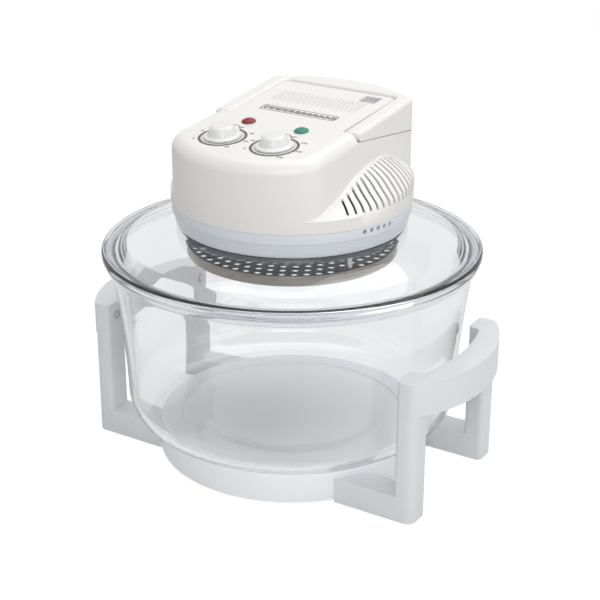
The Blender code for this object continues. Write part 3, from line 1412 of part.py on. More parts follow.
def make_drive():
    """Motor on its bracket, with one shaft for the hot-air fan below and the cooling fan above."""
    hot_bottom = GUARD_TOP + CONVECTION_FAN_LIFT
    cool_bottom = MOTOR_TOP + COOLING_FAN_LIFT
    make_fan("convection_fan", CONVECTION_FAN_RADIUS, CONVECTION_FAN_HEIGHT, CONVECTION_FAN_BLADES,
             hot_bottom, STEEL, 0)
    make_fan("cooling_fan", COOLING_FAN_RADIUS, COOLING_FAN_HEIGHT, COOLING_FAN_BLADES,
             cool_bottom, DARK_PLASTIC, COOLING_FAN_LEAN)
    shaft_top = cool_bottom + COOLING_FAN_HEIGHT + FAN_PLATE + SHAFT_END
    rod("motor_shaft", (0, 0, hot_bottom - SHAFT_END), (0, 0, shaft_top), SHAFT_RADIUS, STEEL, 16,
        PARTS)
    bore = SHAFT_RADIUS + SHAFT_RUNNING_GAP
    motor = filleted((
        (bore, MOTOR_TOP, 0),
        (MOTOR_RADIUS, MOTOR_TOP, MOTOR_ROUND),
        (MOTOR_RADIUS, MOTOR_BOTTOM, MOTOR_ROUND),
        (bore, MOTOR_BOTTOM, 0)), 2)
    turned("fan_motor", motor, DARK_STEEL, 20)
    half, foot = BRACKET_SPAN, BRACKET_FOOT
    sheet = BRACKET_SHEET
    low, high = SKIRT_FLOOR_TOP + GAP, BRACKET_TOP
    outline = (
        (-half, low), (-half + foot, low), (-half + foot, high - sheet), (half - foot, high - sheet),
        (half - foot, low), (half, low), (half, low + sheet), (half - foot + sheet, low + sheet),
        (half - foot + sheet, high), (-half + foot - sheet, high), (-half + foot - sheet, low + sheet),
        (-half, low + sheet))
    bracket = prism("motor_bracket", [outline], -BRACKET_WIDTH / 2, BRACKET_WIDTH / 2, STEEL)
    bracket.data.transform(Matrix.Rotation(pi / 2, 4, "X"))
    hole = rod("bracket_hole", (0, 0, high - sheet - OVERRUN), (0, 0, high + OVERRUN),
               SHAFT_RADIUS + 4 * GAP, None, 16)
    cut(bracket, hole)
    settle(bracket)


def turn_head(pieces):
    """Turn every piece of the head together, as it sits on the round bowl."""
    frame = empty("head_frame", (0, 0, 0))
    frame.rotation_euler.z = HEAD_TURN
    for piece in pieces:
        piece.parent = frame


def build():
    make_stand()
    make_glass_bowl()
    make_glass_lid()
    below = set(PARTS.objects)
    make_gasket()
    make_skirt()
    make_housing()
    make_housing_screws()
    make_carry_handle()
    make_handle_pins()
    make_controls()
    red, green = lamp_places()
    make_lamp("power_lamp", red, RED_LENS)
    make_lamp("heat_lamp", green, GREEN_LENS)
    make_safety_switch()
    make_bushing()
    make_pan()
    make_guard()
    make_standoffs()
    make_heater()
    make_drive()
    turn_head([piece for piece in PARTS.objects if piece not in below])


build()
for leftover in list(CUTTERS.objects):
    bpy.data.objects.remove(leftover, do_unlink=True)
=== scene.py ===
"""Looks for the glass-bowl convection oven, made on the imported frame."""
import json
from math import asin, atan, atan2, cos, hypot, pi, radians, sin, sqrt, tan

import bmesh
import bpy
from mathutils import Matrix, Vector

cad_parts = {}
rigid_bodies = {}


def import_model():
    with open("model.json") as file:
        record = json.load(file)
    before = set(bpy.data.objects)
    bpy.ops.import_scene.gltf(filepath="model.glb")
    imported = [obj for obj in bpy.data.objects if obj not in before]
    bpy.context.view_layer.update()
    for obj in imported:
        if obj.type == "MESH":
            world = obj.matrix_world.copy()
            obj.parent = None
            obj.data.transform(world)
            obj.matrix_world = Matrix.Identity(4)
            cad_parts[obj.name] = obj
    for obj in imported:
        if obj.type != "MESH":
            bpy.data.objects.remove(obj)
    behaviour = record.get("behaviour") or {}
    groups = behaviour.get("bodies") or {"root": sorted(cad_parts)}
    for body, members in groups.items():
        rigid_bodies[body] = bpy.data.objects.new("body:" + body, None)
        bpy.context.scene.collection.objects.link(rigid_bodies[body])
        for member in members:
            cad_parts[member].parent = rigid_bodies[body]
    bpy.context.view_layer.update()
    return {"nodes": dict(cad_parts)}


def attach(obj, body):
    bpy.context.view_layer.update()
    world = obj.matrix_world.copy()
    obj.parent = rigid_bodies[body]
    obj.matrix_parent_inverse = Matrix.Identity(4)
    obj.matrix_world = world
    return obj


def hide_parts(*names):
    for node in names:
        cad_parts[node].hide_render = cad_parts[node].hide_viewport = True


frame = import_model()

PARTS = bpy.data.collections.new("looks")
CUTTERS = bpy.data.collections.new("cutters")
bpy.context.scene.collection.children.link(PARTS)
bpy.context.scene.collection.children.link(CUTTERS)

# General sizes
GAP = 0.0003
OVERRUN = 0.004
WELD = 0.000001
SMOOTH_ANGLE = 0.61
FLAT_ANGLE = 0.002
OUTLINE_FLAT_ANGLE = 0.01
FULL_TURN = 2 * pi
UP = Vector((0, 0, 1))

# Stand: round base platform
BASE_LEDGE = 0.006
BASE_UNDERSIDE = 0.003
BASE_HEIGHT = 0.0313
BASE_WALL = 0.003
BASE_EDGE_ROUND = 0.005
BASE_RECESS_DEPTH = 0.002
BASE_SEAT_WIDTH = 0.020
PLATFORM_STEPS = 36

# Stand: side frames, each a bowed bar with two legs and two arms
FOOT_CLEARANCE = 0.0008
BAR_TOP = 0.129
BAR_DEPTH = 0.029
BAR_FINGER_ROOM = 0.008
BAR_OUTER_RADIUS = 0.129
BAR_OUTREACH = 0.0305
FRAME_HALF_DEPTH = 0.079
LEG_WIDTH = 0.025
LEG_TUCK = 0.0114
LEG_DEPTH = 0.0179
LEG_OUTER_ROUND = 0.008
LEG_INNER_ROUND = 0.0045
WINDOW_ROUND = 0.014
ARM_HEIGHT = 0.0235
FRAME_EDGE_ROUND = 0.0040

# Stand: screws and pads
SCREW_RADIUS = 0.0018
SCREW_BORE = SCREW_RADIUS + GAP
SCREW_LENGTH = 0.011
STAND_SCREW_HEIGHT = 0.0125
HANDLE_SCREW_DROP = 0.012
PAD_RADIUS = 0.0055
PAD_THICKNESS = 0.0022

# Glass bowl
BOWL_HEIGHT = 0.1587
BOWL_NECK_RADIUS = 0.160
BOWL_TAPER = 0.0116
BOWL_CORNER = 0.0334
BOWL_FLARE = 1.5
BOWL_FLANGE_REACH = 0.0045
BOWL_FLANGE_THICKNESS = 0.0066
BOWL_GLASS = 0.0045

# Glass lid
LID_OVERHANG = 0.0025
LID_RIM_HEIGHT = 0.0072
LID_RIM_WIDTH = 0.011
LID_RISE = 0.0271
LID_GLASS = 0.0045
LID_LIP_DEPTH = 0.005
LID_LIP_WIDTH = 0.004
LID_LIP_CLEARANCE = 0.0010
LID_HOLE_MARGIN = 0.0055
LID_LAND_WIDTH = 0.008
DOME_STRAIGHT_SHARE = 0.5

# Head skirt, the pale ring under the housing
SKIRT_HEIGHT = 0.0213
SKIRT_BAND_SHARE = 0.55
SKIRT_TOP_RADIUS = 0.105
SKIRT_BOTTOM_RADIUS = 0.1005
SKIRT_WALL = 0.0024
SKIRT_STEP = 0.0007
SKIRT_FLOOR = 0.0025
SKIRT_TONGUE = 0.0035
TONGUE_CLEARANCE = 0.0010
SKIRT_VENT_RADIUS = 0.0016
SKIRT_VENT_DROP = 0.0034
SKIRT_VENT_COUNT = 5
SKIRT_VENT_FIRST = -0.365
SKIRT_VENT_PITCH = 0.070
GASKET_THICKNESS = 0.0015

# Turn of the whole head on the round bowl
HEAD_TURN = -0.040

# Head housing
HEAD_FRONT_RADIUS = 0.1055
HEAD_HALF_WIDTH = 0.074
HEAD_REAR = 0.096
HEAD_REAR_SAG = 0.018
HEAD_CORNER_ROUND = 0.028
HEAD_REAR_ROUND = 0.006
HEAD_SHOULDER = 0.011
HEAD_WALL = 0.0025
SHOULDER_STEPS = 9
BULGE_STEPS = 160
BULGE_RADIUS = 0.1052
BULGE_FOOT = 0.0105
BULGE_RISE = 0.0320
PANEL_HEIGHT = 0.0698
PANEL_SLOPE = 0.112
BULGE_LEVEL_SHARES = (
    (0.00, 1.000, 1.000, 0.000),
    (0.19, 0.978, 0.900, 0.066),
    (0.38, 0.865, 0.780, 0.143),
    (0.63, 0.640, 0.632, 0.162),
    (0.81, 0.385, 0.504, 0.180),
    (0.94, 0.160, 0.323, 0.200),
    (1.00, -0.060, 0.150, 0.210),
)

# Louvres on the two side bulges and slots in the top
LOUVRE_COUNT = 14
LOUVRE_PITCH = 0.007
LOUVRE_WIDTH = 0.0023
LOUVRE_FIRST = -0.052
LOUVRE_CENTRE = 0.017
LOUVRE_LIFT = 0.0015
LOUVRE_MARGIN = 0.0034
TOP_SLOT_COUNT = 21
TOP_SLOT_PITCH = 0.0042
TOP_SLOT_WIDTH = 0.0012
TOP_SLOT_DEPTH = 0.0009
TOP_SLOT_FRONT = 0.0285
TOP_SLOT_LENGTH = 0.024

# Folding carry handle
HANDLE_ARM_WIDTH = 0.0157
HANDLE_BRIDGE_WIDTH = 0.021
HANDLE_PIVOT_BACK = -0.007
HANDLE_SEAM_DROP = 0.0082
HANDLE_SEAM_SLOPE = -0.108
HANDLE_TOP_SLOPE = 0.137
HANDLE_END_ROUND = 0.0033
HANDLE_EDGE_ROUND = 0.0038
HANDLE_INNER_ROUND = 0.006
HANDLE_ROUND_STEPS = 8
HANDLE_CLEARANCE = 0.0006
HANDLE_SIDE_CLEARANCE = 0.0004
HANDLE_REAR_CLEARANCE = 0.0018
HANDLE_END_CLEARANCE = 0.0014
PIN_RADIUS = 0.0016
PIN_ARM_DEPTH = 0.009

# Controls on the sloping panel
KNOB_SPACING = 0.0525
KNOB_BACK = -0.0636
KNOB_RADIUS = 0.0158
KNOB_FLANGE = 0.0040
KNOB_GRIP_HALF = 0.0042
KNOB_SCOOP_RADIUS = 0.022
KNOB_CLEARANCE = 0.0006
SPINDLE_RADIUS = 0.0030
SPINDLE_CLEARANCE = 0.0005
SPINDLE_KNOB_DEPTH = 0.0095
LAMP_SPACING = 0.054
LAMP_BACK = -0.0257
LAMP_RADIUS = 0.0062
LAMP_DOME = 0.0022
LAMP_FLANGE = 0.0010
LAMP_STEM_RADIUS = 0.0045
LAMP_STEM_LENGTH = 0.0135

# Safety switch under the window in the top
SWITCH_CENTRE = (0.0395, 0.0625)
SWITCH_WINDOW = (0.0165, 0.0145)

# Reflector pan, heater and guard
PAN_NECK_RADIUS = 0.082
PAN_SHEET = 0.0012
GUARD_RADIUS = 0.092
GUARD_DROP = 0.0137
GUARD_SHEET = 0.0010
GUARD_RIM = 0.0078
GUARD_SPOKE_HALF = 0.0085
STANDOFF_RING = 0.0865
STANDOFF_COUNT = 3
STANDOFF_FIRST = -0.39
BOSS_RADIUS = 0.0045
BOSS_THREAD_DEPTH = 0.0045

# Housing screws and cord bushing
HOUSING_SCREW_RING = 0.0880
HOUSING_SCREW_TURN = 0.785
COLUMN_RADIUS = 0.0045
BUSHING_RADIUS = 0.007
BUSHING_ACROSS = -0.040
BUSHING_LIFT = 0.030

# Radii that follow from the bowl and the skirt
BOWL_FLANGE_RADIUS = BOWL_NECK_RADIUS + BOWL_FLANGE_REACH
BOWL_FLAT_RADIUS = BOWL_NECK_RADIUS - BOWL_TAPER - BOWL_CORNER
BASE_RADIUS = BOWL_FLAT_RADIUS + BASE_LEDGE
BAR_INNER_RADIUS = BOWL_NECK_RADIUS + BAR_FINGER_ROOM
BAR_REACH = BOWL_NECK_RADIUS + BAR_OUTREACH
LEG_INNER = BOWL_NECK_RADIUS - LEG_TUCK
LEG_OUTER = LEG_INNER + LEG_DEPTH
LEG_MIDDLE = FRAME_HALF_DEPTH - LEG_WIDTH / 2
LID_RADIUS = BOWL_FLANGE_RADIUS + LID_OVERHANG
LID_HOLE_RADIUS = SKIRT_BOTTOM_RADIUS - LID_HOLE_MARGIN

# Heights, from the floor up
BASE_TOP = BASE_HEIGHT
BOWL_BOTTOM = BASE_TOP + GAP
BOWL_TOP = BOWL_BOTTOM + BOWL_HEIGHT
LID_BOTTOM = BOWL_TOP + GAP
LID_TOP = LID_BOTTOM + LID_RISE
LID_LAND_UNDERSIDE = LID_TOP - LID_GLASS
SKIRT_BOTTOM = LID_TOP + GAP
SKIRT_FLOOR_UNDERSIDE = SKIRT_BOTTOM + GASKET_THICKNESS + GAP
SKIRT_FLOOR_TOP = SKIRT_FLOOR_UNDERSIDE + SKIRT_FLOOR
SKIRT_TOP = SKIRT_BOTTOM + SKIRT_HEIGHT
HOUSING_BOTTOM = SKIRT_TOP + GAP
BULGE_BASE = HOUSING_BOTTOM + BULGE_FOOT
PANEL_ZERO = HOUSING_BOTTOM + PANEL_HEIGHT
PAN_TOP = LID_LAND_UNDERSIDE - GAP
PAN_UNDERSIDE = PAN_TOP - PAN_SHEET
GUARD_TOP = PAN_UNDERSIDE - GUARD_DROP
GUARD_UNDERSIDE = GUARD_TOP - GUARD_SHEET
HANDLE_PIVOT_TOP = PANEL_ZERO + PANEL_SLOPE * HANDLE_PIVOT_BACK
PANEL_TILT = atan(PANEL_SLOPE)
BAR_CENTRE = BAR_REACH - BAR_OUTER_RADIUS
BAR_BOTTOM = BAR_TOP - BAR_DEPTH
HANDLE_SHAPE_FRONT = HANDLE_PIVOT_BACK - HANDLE_END_ROUND


def finer_levels():
    """The bulge's levels with smooth ones between them."""
    levels = BULGE_LEVEL_SHARES
    fine = [levels[0]]
    for i in range(len(levels) - 1):
        a, b = levels[max(i - 1, 0)], levels[i]
        c, d = levels[i + 1], levels[min(i + 2, len(levels) - 1)]
        for step in range(1, 5):
            t = step / 4
            fine.append(tuple(0.5 * (2 * q + (r - p) * t + (2 * p - 5 * q + 4 * r - s) * t ** 2
                                     + (3 * q - p - 3 * r + s) * t ** 3)
                              for p, q, r, s in zip(a, b, c, d)))
    return fine


def add_object(name, mesh, material=None):
    """Link a shown piece, or a cutter where there is no material."""
    obj = bpy.data.objects.new(name, mesh)
    if material:
        mesh.materials.append(material)
        PARTS.objects.link(obj)
    else:
        CUTTERS.objects.link(obj)
        obj.hide_render = True
    return obj


def mesh_from(name, work):
    """Store a bmesh as a smooth-shaded mesh with its real edges kept sharp."""
    work.normal_update()
    bmesh.ops.recalc_face_normals(work, faces=work.faces)
    mesh = bpy.data.meshes.new(name)
    work.to_mesh(mesh)
    work.free()
    mesh.shade_smooth()
    mesh.set_sharp_from_angle(angle=SMOOTH_ANGLE)
    return mesh


def evaluated_mesh(obj):
    """An object's mesh with its modifiers applied."""
    graph = bpy.context.evaluated_depsgraph_get()
    return bpy.data.meshes.new_from_object(obj.evaluated_get(graph))


def opened(mesh):
    """A bmesh that holds a copy of a mesh."""
    work = bmesh.new()
    work.from_mesh(mesh)
    return work


def renew(obj, work):
    """Give an object a bmesh as its new mesh, with the materials that it had."""
    materials = list(obj.data.materials)
    obj.modifiers.clear()
    obj.data = mesh_from(obj.name, work)
    for material in materials:
        obj.data.materials.append(material)


def turned(name, profile, material, steps):
    """A solid of revolution about Z. The profile runs down its outer side."""
    mesh = bpy.data.meshes.new(name)
    on_axis = abs(profile[0][0]) < WELD and abs(profile[-1][0]) < WELD
    edges = [(i, i + 1) for i in range(len(profile) - 1)]
    if not on_axis:
        edges.append((len(profile) - 1, 0))
    mesh.from_pydata([(radius, 0, height) for radius, height in profile], edges, [])
    obj = add_object(name, mesh, material)
    screw = obj.modifiers.new("turn", "SCREW")
    screw.axis = "Z"
    screw.steps = steps
    screw.use_merge_vertices = True
    screw.merge_threshold = WELD
    return obj


def prism(name, loops, bottom, top, material=None):
    """A flat outline, with any holes as further loops, drawn as a filled curve and raised."""
    curve = bpy.data.curves.new(name, "CURVE")
    curve.dimensions = "2D"
    curve.fill_mode = "BOTH"
    curve.extrude = (top - bottom) / 2
    for loop in loops:
        spline = curve.splines.new("POLY")
        spline.points.add(len(loop) - 1)
        for point, (x, y) in zip(spline.points, loop):
            point.co = (x, y, 0, 1)
        spline.use_cyclic_u = True
    sketch = add_object(name + "_sketch", curve)
    sketch.location.z = (top + bottom) / 2
    bpy.context.view_layer.update()
    work = opened(evaluated_mesh(sketch))
    bmesh.ops.remove_doubles(work, verts=work.verts, dist=WELD)
    work.transform(sketch.matrix_world)
    bpy.data.objects.remove(sketch)
    return add_object(name, mesh_from(name, work), material)


def box(low, high):
    """A block between two corners."""
    work = bmesh.new()
    size = [b - a for a, b in zip(low, high)]
    middle = [(a + b) / 2 for a, b in zip(low, high)]
    bmesh.ops.create_cube(work, size=1)
    work.transform(Matrix.Translation(middle) @ Matrix.Diagonal((*size, 1)))
    return add_object("box", mesh_from("box", work))


def rod(start, end, radius, sides=16):
    """A straight round bar between two points."""
    start, end = Vector(start), Vector(end)
    along = end - start
    work = bmesh.new()
    bmesh.ops.create_cone(work, cap_ends=True, segments=sides, radius1=radius, radius2=radius,
                          depth=along.length)
    turn = along.to_track_quat("Z", "Y").to_matrix().to_4x4()
    work.transform(Matrix.Translation((start + end) / 2) @ turn)
    return add_object("rod", mesh_from("rod", work))


def ray(turn):
    """Unit vector in plan at an angle from +X."""
    return Vector((cos(turn), sin(turn), 0))


def bore(place, direction, back, ahead, radius, sides=16):
    """A round hole through a place, from behind it to a depth ahead of it."""
    return rod(place - direction * back, place + direction * ahead, radius, sides)


def screw_bores(places, below, above):
    return [bore(place, UP, below, above, SCREW_BORE) for place in places]


def joined(name, pieces, material=None):
    """Several pieces without modifiers as one object."""
    work = bmesh.new()
    for piece in pieces:
        work.from_mesh(piece.data)
        bpy.data.objects.remove(piece)
    return add_object(name, mesh_from(name, work), material)


def combine(obj, other, operation):
    step = obj.modifiers.new(other.name, "BOOLEAN")
    step.operation = operation
    step.solver = "EXACT"
    step.object = other


def cut(obj, *cutters):
    for cutter in cutters:
        combine(obj, cutter, "DIFFERENCE")


def unite(obj, *others):
    for other in others:
        combine(obj, other, "UNION")


def rounded_edges(obj, width, segments, angle=0.9):
    bevel = obj.modifiers.new("rounded_edges", "BEVEL")
    bevel.width = width
    bevel.segments = segments
    bevel.limit_method = "ANGLE"
    bevel.angle_limit = angle


def settle(obj):
    """Turn an object's modifiers into its mesh, with real edges kept sharp."""
    bpy.context.view_layer.update()
    work = opened(evaluated_mesh(obj))
    bmesh.ops.remove_doubles(work, verts=work.verts, dist=WELD)
    bmesh.ops.dissolve_degenerate(work, edges=work.edges, dist=WELD)
    bmesh.ops.dissolve_limit(work, angle_limit=FLAT_ANGLE, verts=work.verts, edges=work.edges)
    renew(obj, work)


def arc(radius, start, end, count, centre=(0.0, 0.0)):
    """Points on an arc in plan, both ends included."""
    step = (end - start) / count
    angles = [start + step * i for i in range(count + 1)]
    return [(centre[0] + radius * cos(a), centre[1] + radius * sin(a)) for a in angles]


def filleted(corners, count=4):
    """An outline whose corners (x, y, radius) are rounded where the radius isn't zero."""
    outline = []
    for i, (x, y, radius) in enumerate(corners):
        here = Vector((x, y))
        if radius < WELD:
            outline.append((x, y))
            continue
        before = Vector(corners[i - 1][:2]) - here
        after = Vector(corners[(i + 1) % len(corners)][:2]) - here
        half = before.angle(after) / 2
        reach = min(radius / tan(half), before.length / 2, after.length / 2)
        radius = reach * tan(half)
        before.normalize()
        after.normalize()
        middle = here + (before + after).normalized() * radius / sin(half)
        first = here + before * reach - middle
        last = here + after * reach - middle
        start = atan2(first.y, first.x)
        sweep = (atan2(last.y, last.x) - start + pi) % FULL_TURN - pi
        outline += arc(radius, start, start + sweep, count, middle)
    return outline


def bar_outline():
    """Plan of one handle bar at +X: outer bow, ends over the legs and an arc round the bowl."""
    half = FRAME_HALF_DEPTH
    near = half - LEG_WIDTH
    bow = rounded_bow(BAR_OUTER_RADIUS, half, LEG_OUTER_ROUND, 40)
    bow = [(x + BAR_CENTRE, y, 0) for x, y in bow]
    inner_turn = asin(near / BAR_INNER_RADIUS)
    inside = [(x, y, 0) for x, y in arc(BAR_INNER_RADIUS, inner_turn, -inner_turn, 14)]
    inside[0] = (*inside[0][:2], LEG_INNER_ROUND)
    inside[-1] = (*inside[-1][:2], LEG_INNER_ROUND)
    back = [(LEG_INNER, half, LEG_INNER_ROUND), (LEG_INNER, near, LEG_INNER_ROUND)]
    front = [(LEG_INNER, -near, LEG_INNER_ROUND), (LEG_INNER, -half, LEG_INNER_ROUND)]
    return filleted(bow + back + inside + front, 8)


def leg_outline(side):
    """Plan of one leg at +X, well rounded on its outer end."""
    far = FRAME_HALF_DEPTH
    near = far - LEG_WIDTH
    outline = filleted((
        (LEG_INNER, near, LEG_INNER_ROUND), (LEG_OUTER, near, LEG_INNER_ROUND),
        (LEG_OUTER, far, LEG_OUTER_ROUND), (LEG_INNER, far, LEG_INNER_ROUND)), 8)
    return [(x, y * side) for x, y in outline]


def arm_outline(side):
    """Plan of one arm at +X, from the platform's wall out into the leg."""
    near = FRAME_HALF_DEPTH - LEG_WIDTH
    radius = BASE_RADIUS + GAP
    inner = arc(radius, asin(near / radius), asin(FRAME_HALF_DEPTH / radius), 10)
    outer_x = LEG_INNER + LEG_INNER_ROUND
    outline = [(outer_x, near)] + inner + [(outer_x, FRAME_HALF_DEPTH)]
    return [(x, y * side) for x, y in outline]


def stand_screw_place(side):
    """Seat of the screw that holds one arm, inside the platform's wall, and its direction."""
    direction = ray(asin(LEG_MIDDLE / BASE_RADIUS) * side)
    seat = direction * (BASE_RADIUS - BASE_WALL) * cos(pi / PLATFORM_STEPS)
    seat.z = STAND_SCREW_HEIGHT
    return seat, direction


def frame_holes(side):
    """Holes of one leg and its arm: both screws and the pad's recess."""
    seat, direction = stand_screw_place(side)
    grip = Vector((LEG_INNER, LEG_MIDDLE * side, BAR_TOP - HANDLE_SCREW_DROP))
    pad = Vector(((LEG_OUTER + LEG_INNER) / 2, LEG_MIDDLE * side, 0))
    depth = SCREW_LENGTH + GAP
    return [bore(seat, direction, OVERRUN, depth, SCREW_BORE, 10),
            bore(grip, Vector((1, 0, 0)), OVERRUN, depth, SCREW_BORE, 20),
            bore(pad, UP, OVERRUN, PAD_THICKNESS + GAP, PAD_RADIUS + GAP, 14)]


def bowl_wall(inset, count):
    """Outline of the bowl's wall from the rim's underside down to the middle of its floor."""
    corner_height = BOWL_BOTTOM + BOWL_CORNER
    neck = BOWL_TOP - BOWL_FLANGE_THICKNESS
    widest = BOWL_FLAT_RADIUS + BOWL_CORNER
    points = []
    for i in range(count, 0, -1):
        share = i / count
        radius = widest + (BOWL_NECK_RADIUS - widest) * share ** BOWL_FLARE
        points.append((radius - inset, corner_height + (neck - corner_height) * share))
    corner = arc(BOWL_CORNER - inset, 0, -pi / 2, 20, (BOWL_FLAT_RADIUS, corner_height))
    return points + corner


def lid_dome(count):
    """Upper face of the lid from the rim's inner edge in to the flat land round the hole."""
    start = LID_RADIUS - LID_RIM_WIDTH
    end = LID_HOLE_RADIUS + LID_LAND_WIDTH
    low = LID_BOTTOM + LID_RIM_HEIGHT - LID_LIP_CLEARANCE
    points = []
    for i in range(count + 1):
        turn = pi / 2 * i / count
        straight = DOME_STRAIGHT_SHARE * i / count
        inward = straight + (1 - DOME_STRAIGHT_SHARE) * (1 - cos(turn))
        upward = straight + (1 - DOME_STRAIGHT_SHARE) * sin(turn)
        points.append((start - (start - end) * inward, low + (LID_TOP - low) * upward))
    return points


def ring_places(radius, count, first, height):
    turns = [first + FULL_TURN * i / count for i in range(count)]
    return [Vector((radius * cos(t), radius * sin(t), height)) for t in turns]


def housing_screw_places(height):
    return ring_places(HOUSING_SCREW_RING, 4, HOUSING_SCREW_TURN, height)


def rounded_bow(radius, reach, corner, count):
    """Arc about +X between the lines y = -reach and y = reach, with ends rounded onto them."""
    across = reach - corner
    along = sqrt((radius - corner) ** 2 - across ** 2)
    turn = atan2(across, along)
    low = arc(corner, -pi / 2, -turn, 12, (along, -across))
    high = arc(corner, turn, pi / 2, 12, (along, across))
    return low[:-1] + arc(radius, -turn, turn, count) + high[1:]


def rear_radius(side):
    """Radius of the bowed back between two sides."""
    return (side ** 2 + HEAD_REAR_SAG ** 2) / (2 * HEAD_REAR_SAG)


def head_outline(inset):
    """Plan of the upper housing: bowed front, flat sides and a slightly bowed back."""
    side = HEAD_HALF_WIDTH - inset
    rear = HEAD_REAR - inset
    radius = rear_radius(side)
    front = rounded_bow(HEAD_FRONT_RADIUS - inset, side, HEAD_CORNER_ROUND - inset, 48)
    back = rounded_bow(radius, side, max(HEAD_REAR_ROUND - inset, GAP), 32)
    return [(y, -x) for x, y in front] + [(-y, rear - radius + x) for x, y in back]


def bevel_top(obj, width, segments):
    """Round the edges round the top face of a raised outline."""
    work = opened(obj.data)
    bmesh.ops.dissolve_limit(work, angle_limit=OUTLINE_FLAT_ANGLE, verts=work.verts,
                             edges=work.edges)
    top = max(work.faces, key=lambda face: face.calc_center_median().z)
    bevel_edges(work, list(top.edges), width, segments)
    renew(obj, work)


def bevel_edges(work, edges, width, segments):
    bmesh.ops.bevel(work, geom=edges, offset=width, offset_type="OFFSET", segments=segments,
                    profile=0.5, affect="EDGES", clamp_overlap=True)


def lofted(name, rings, material=None):
    """A closed solid over rings of points, lowest first."""
    work = bmesh.new()
    rings = [[work.verts.new(point) for point in ring] for ring in rings]
    for below, above in zip(rings, rings[1:]):
        for i in range(len(below)):
            j = (i + 1) % len(below)
            work.faces.new((below[i], below[j], above[j], above[i]))
    work.faces.new(rings[0][::-1])
    work.faces.new(rings[-1])
    return add_object(name, mesh_from(name, work), material)


def head_block(name, inset, lower, material=None):
    """Upper housing block with a sloping top and a rounded shoulder."""
    top = PANEL_ZERO - inset * sqrt(1 + PANEL_SLOPE ** 2)
    shoulder = HEAD_SHOULDER - inset / 2
    rings = [[(x, y, lower) for x, y in head_outline(inset)]]
    for step in range(SHOULDER_STEPS + 1):
        turn = pi / 2 * step / SHOULDER_STEPS
        outline = head_outline(inset + shoulder * (1 - cos(turn)))
        fall = shoulder * (1 - sin(turn))
        rings.append([(x, y, top - fall + PANEL_SLOPE * y) for x, y in outline])
    return lofted(name, rings, material)


def head_bulge(name, inset, lower):
    """Round foot of the housing that swells out past the flat sides and closes over them."""
    radius = BULGE_RADIUS
    levels = [(lower, radius - inset, radius - inset, 0)]
    for rise, wide, deep, shift in finer_levels():
        half = HEAD_HALF_WIDTH + (radius - HEAD_HALF_WIDTH) * wide - inset
        height = BULGE_BASE + BULGE_RISE * rise - inset * rise
        levels.append((height, half, radius * deep - inset, radius * shift))
    turns = [FULL_TURN * (i + 0.5) / BULGE_STEPS for i in range(BULGE_STEPS)]
    return lofted(name, [[(x * cos(t), shift + y * sin(t), height) for t in turns]
                         for height, x, y, shift in levels])


def seam_height(y):
    """Height of the step that the folded carry handle lies on."""
    return HANDLE_PIVOT_TOP - HANDLE_SEAM_DROP + HANDLE_SEAM_SLOPE * (y - HANDLE_PIVOT_BACK)


def handle_inner_outline(inset):
    """Plan of the housing's crown between the arms of the carry handle."""
    side = HEAD_HALF_WIDTH - HANDLE_ARM_WIDTH - inset
    rear = HEAD_REAR - HANDLE_BRIDGE_WIDTH - inset
    return side, rear


def handle_recess(name, grow):
    """U-shaped step round the crown of the housing, larger by grow on its inner sides."""
    side, rear = handle_inner_outline(grow)
    out = HEAD_HALF_WIDTH + OVERRUN
    back = HEAD_REAR + OVERRUN
    front = HANDLE_SHAPE_FRONT - HANDLE_END_CLEARANCE - grow
    outline = filleted((
        (out, front, 0), (out, back, 0), (-out, back, 0), (-out, front, 0),
        (-side, front, 0), (-side, rear, HANDLE_INNER_ROUND),
        (side, rear, HANDLE_INNER_ROUND), (side, front, 0)), 8)
    top = PANEL_ZERO + PANEL_SLOPE * HEAD_REAR + 2 * OVERRUN
    recess = prism(name, [outline], 0, top)
    for vert in recess.data.vertices:
        if vert.co.z < top / 2:
            vert.co.z = seam_height(vert.co.y) - grow
    return recess


def on_panel(x, y):
    return Vector((x, y, PANEL_ZERO + PANEL_SLOPE * y))


def panel_matrix(place):
    """Frame whose Z axis stands square on the sloping panel at a point of it."""
    return Matrix.Translation(place) @ Matrix.Rotation(PANEL_TILT, 4, "X")


def set_on_panel(piece, place):
    piece.data.transform(panel_matrix(place))
    return piece


def panel_bore(place, radius, sides):
    """A round hole square through the sloping panel."""
    low, high = (0, 0, -HEAD_WALL - OVERRUN), (0, 0, OVERRUN)
    return set_on_panel(rod(low, high, radius, sides), place)


def panel_box(place, size, low):
    """A block that stands square on the sloping panel, from low to above it."""
    x, y = size[0] / 2, size[1] / 2
    return set_on_panel(box((-x, -y, low), (x, y, OVERRUN)), place)


def panel_pair(spacing, back):
    """Two places side by side on the panel, left one first."""
    return on_panel(-spacing / 2, back), on_panel(spacing / 2, back)


def louvre_cutters():
    """Thin upright plates, fanned about a point behind the middle, that cut both bulges."""
    plates = []
    low = BULGE_BASE + LOUVRE_LIFT
    high = BULGE_BASE + BULGE_RISE
    for side in (1, -1):
        for i in range(LOUVRE_COUNT):
            y = LOUVRE_FIRST + LOUVRE_PITCH * i
            x = sqrt(BULGE_RADIUS ** 2 - y ** 2)
            turn = atan2(y - LOUVRE_CENTRE, x)
            start = (HEAD_HALF_WIDTH + LOUVRE_MARGIN) / cos(turn)
            reach = BULGE_RADIUS + HEAD_WALL + LOUVRE_CENTRE
            half = LOUVRE_WIDTH / 2
            plate = box((start, -half, low), (reach, half, high))
            move = Matrix.Translation((0, LOUVRE_CENTRE, 0)) @ Matrix.Rotation(turn, 4, "Z")
            plate.data.transform(Matrix.Diagonal((side, 1, 1, 1)) @ move)
            if side < 0:
                plate.data.flip_normals()
            plates.append(plate)
    return plates


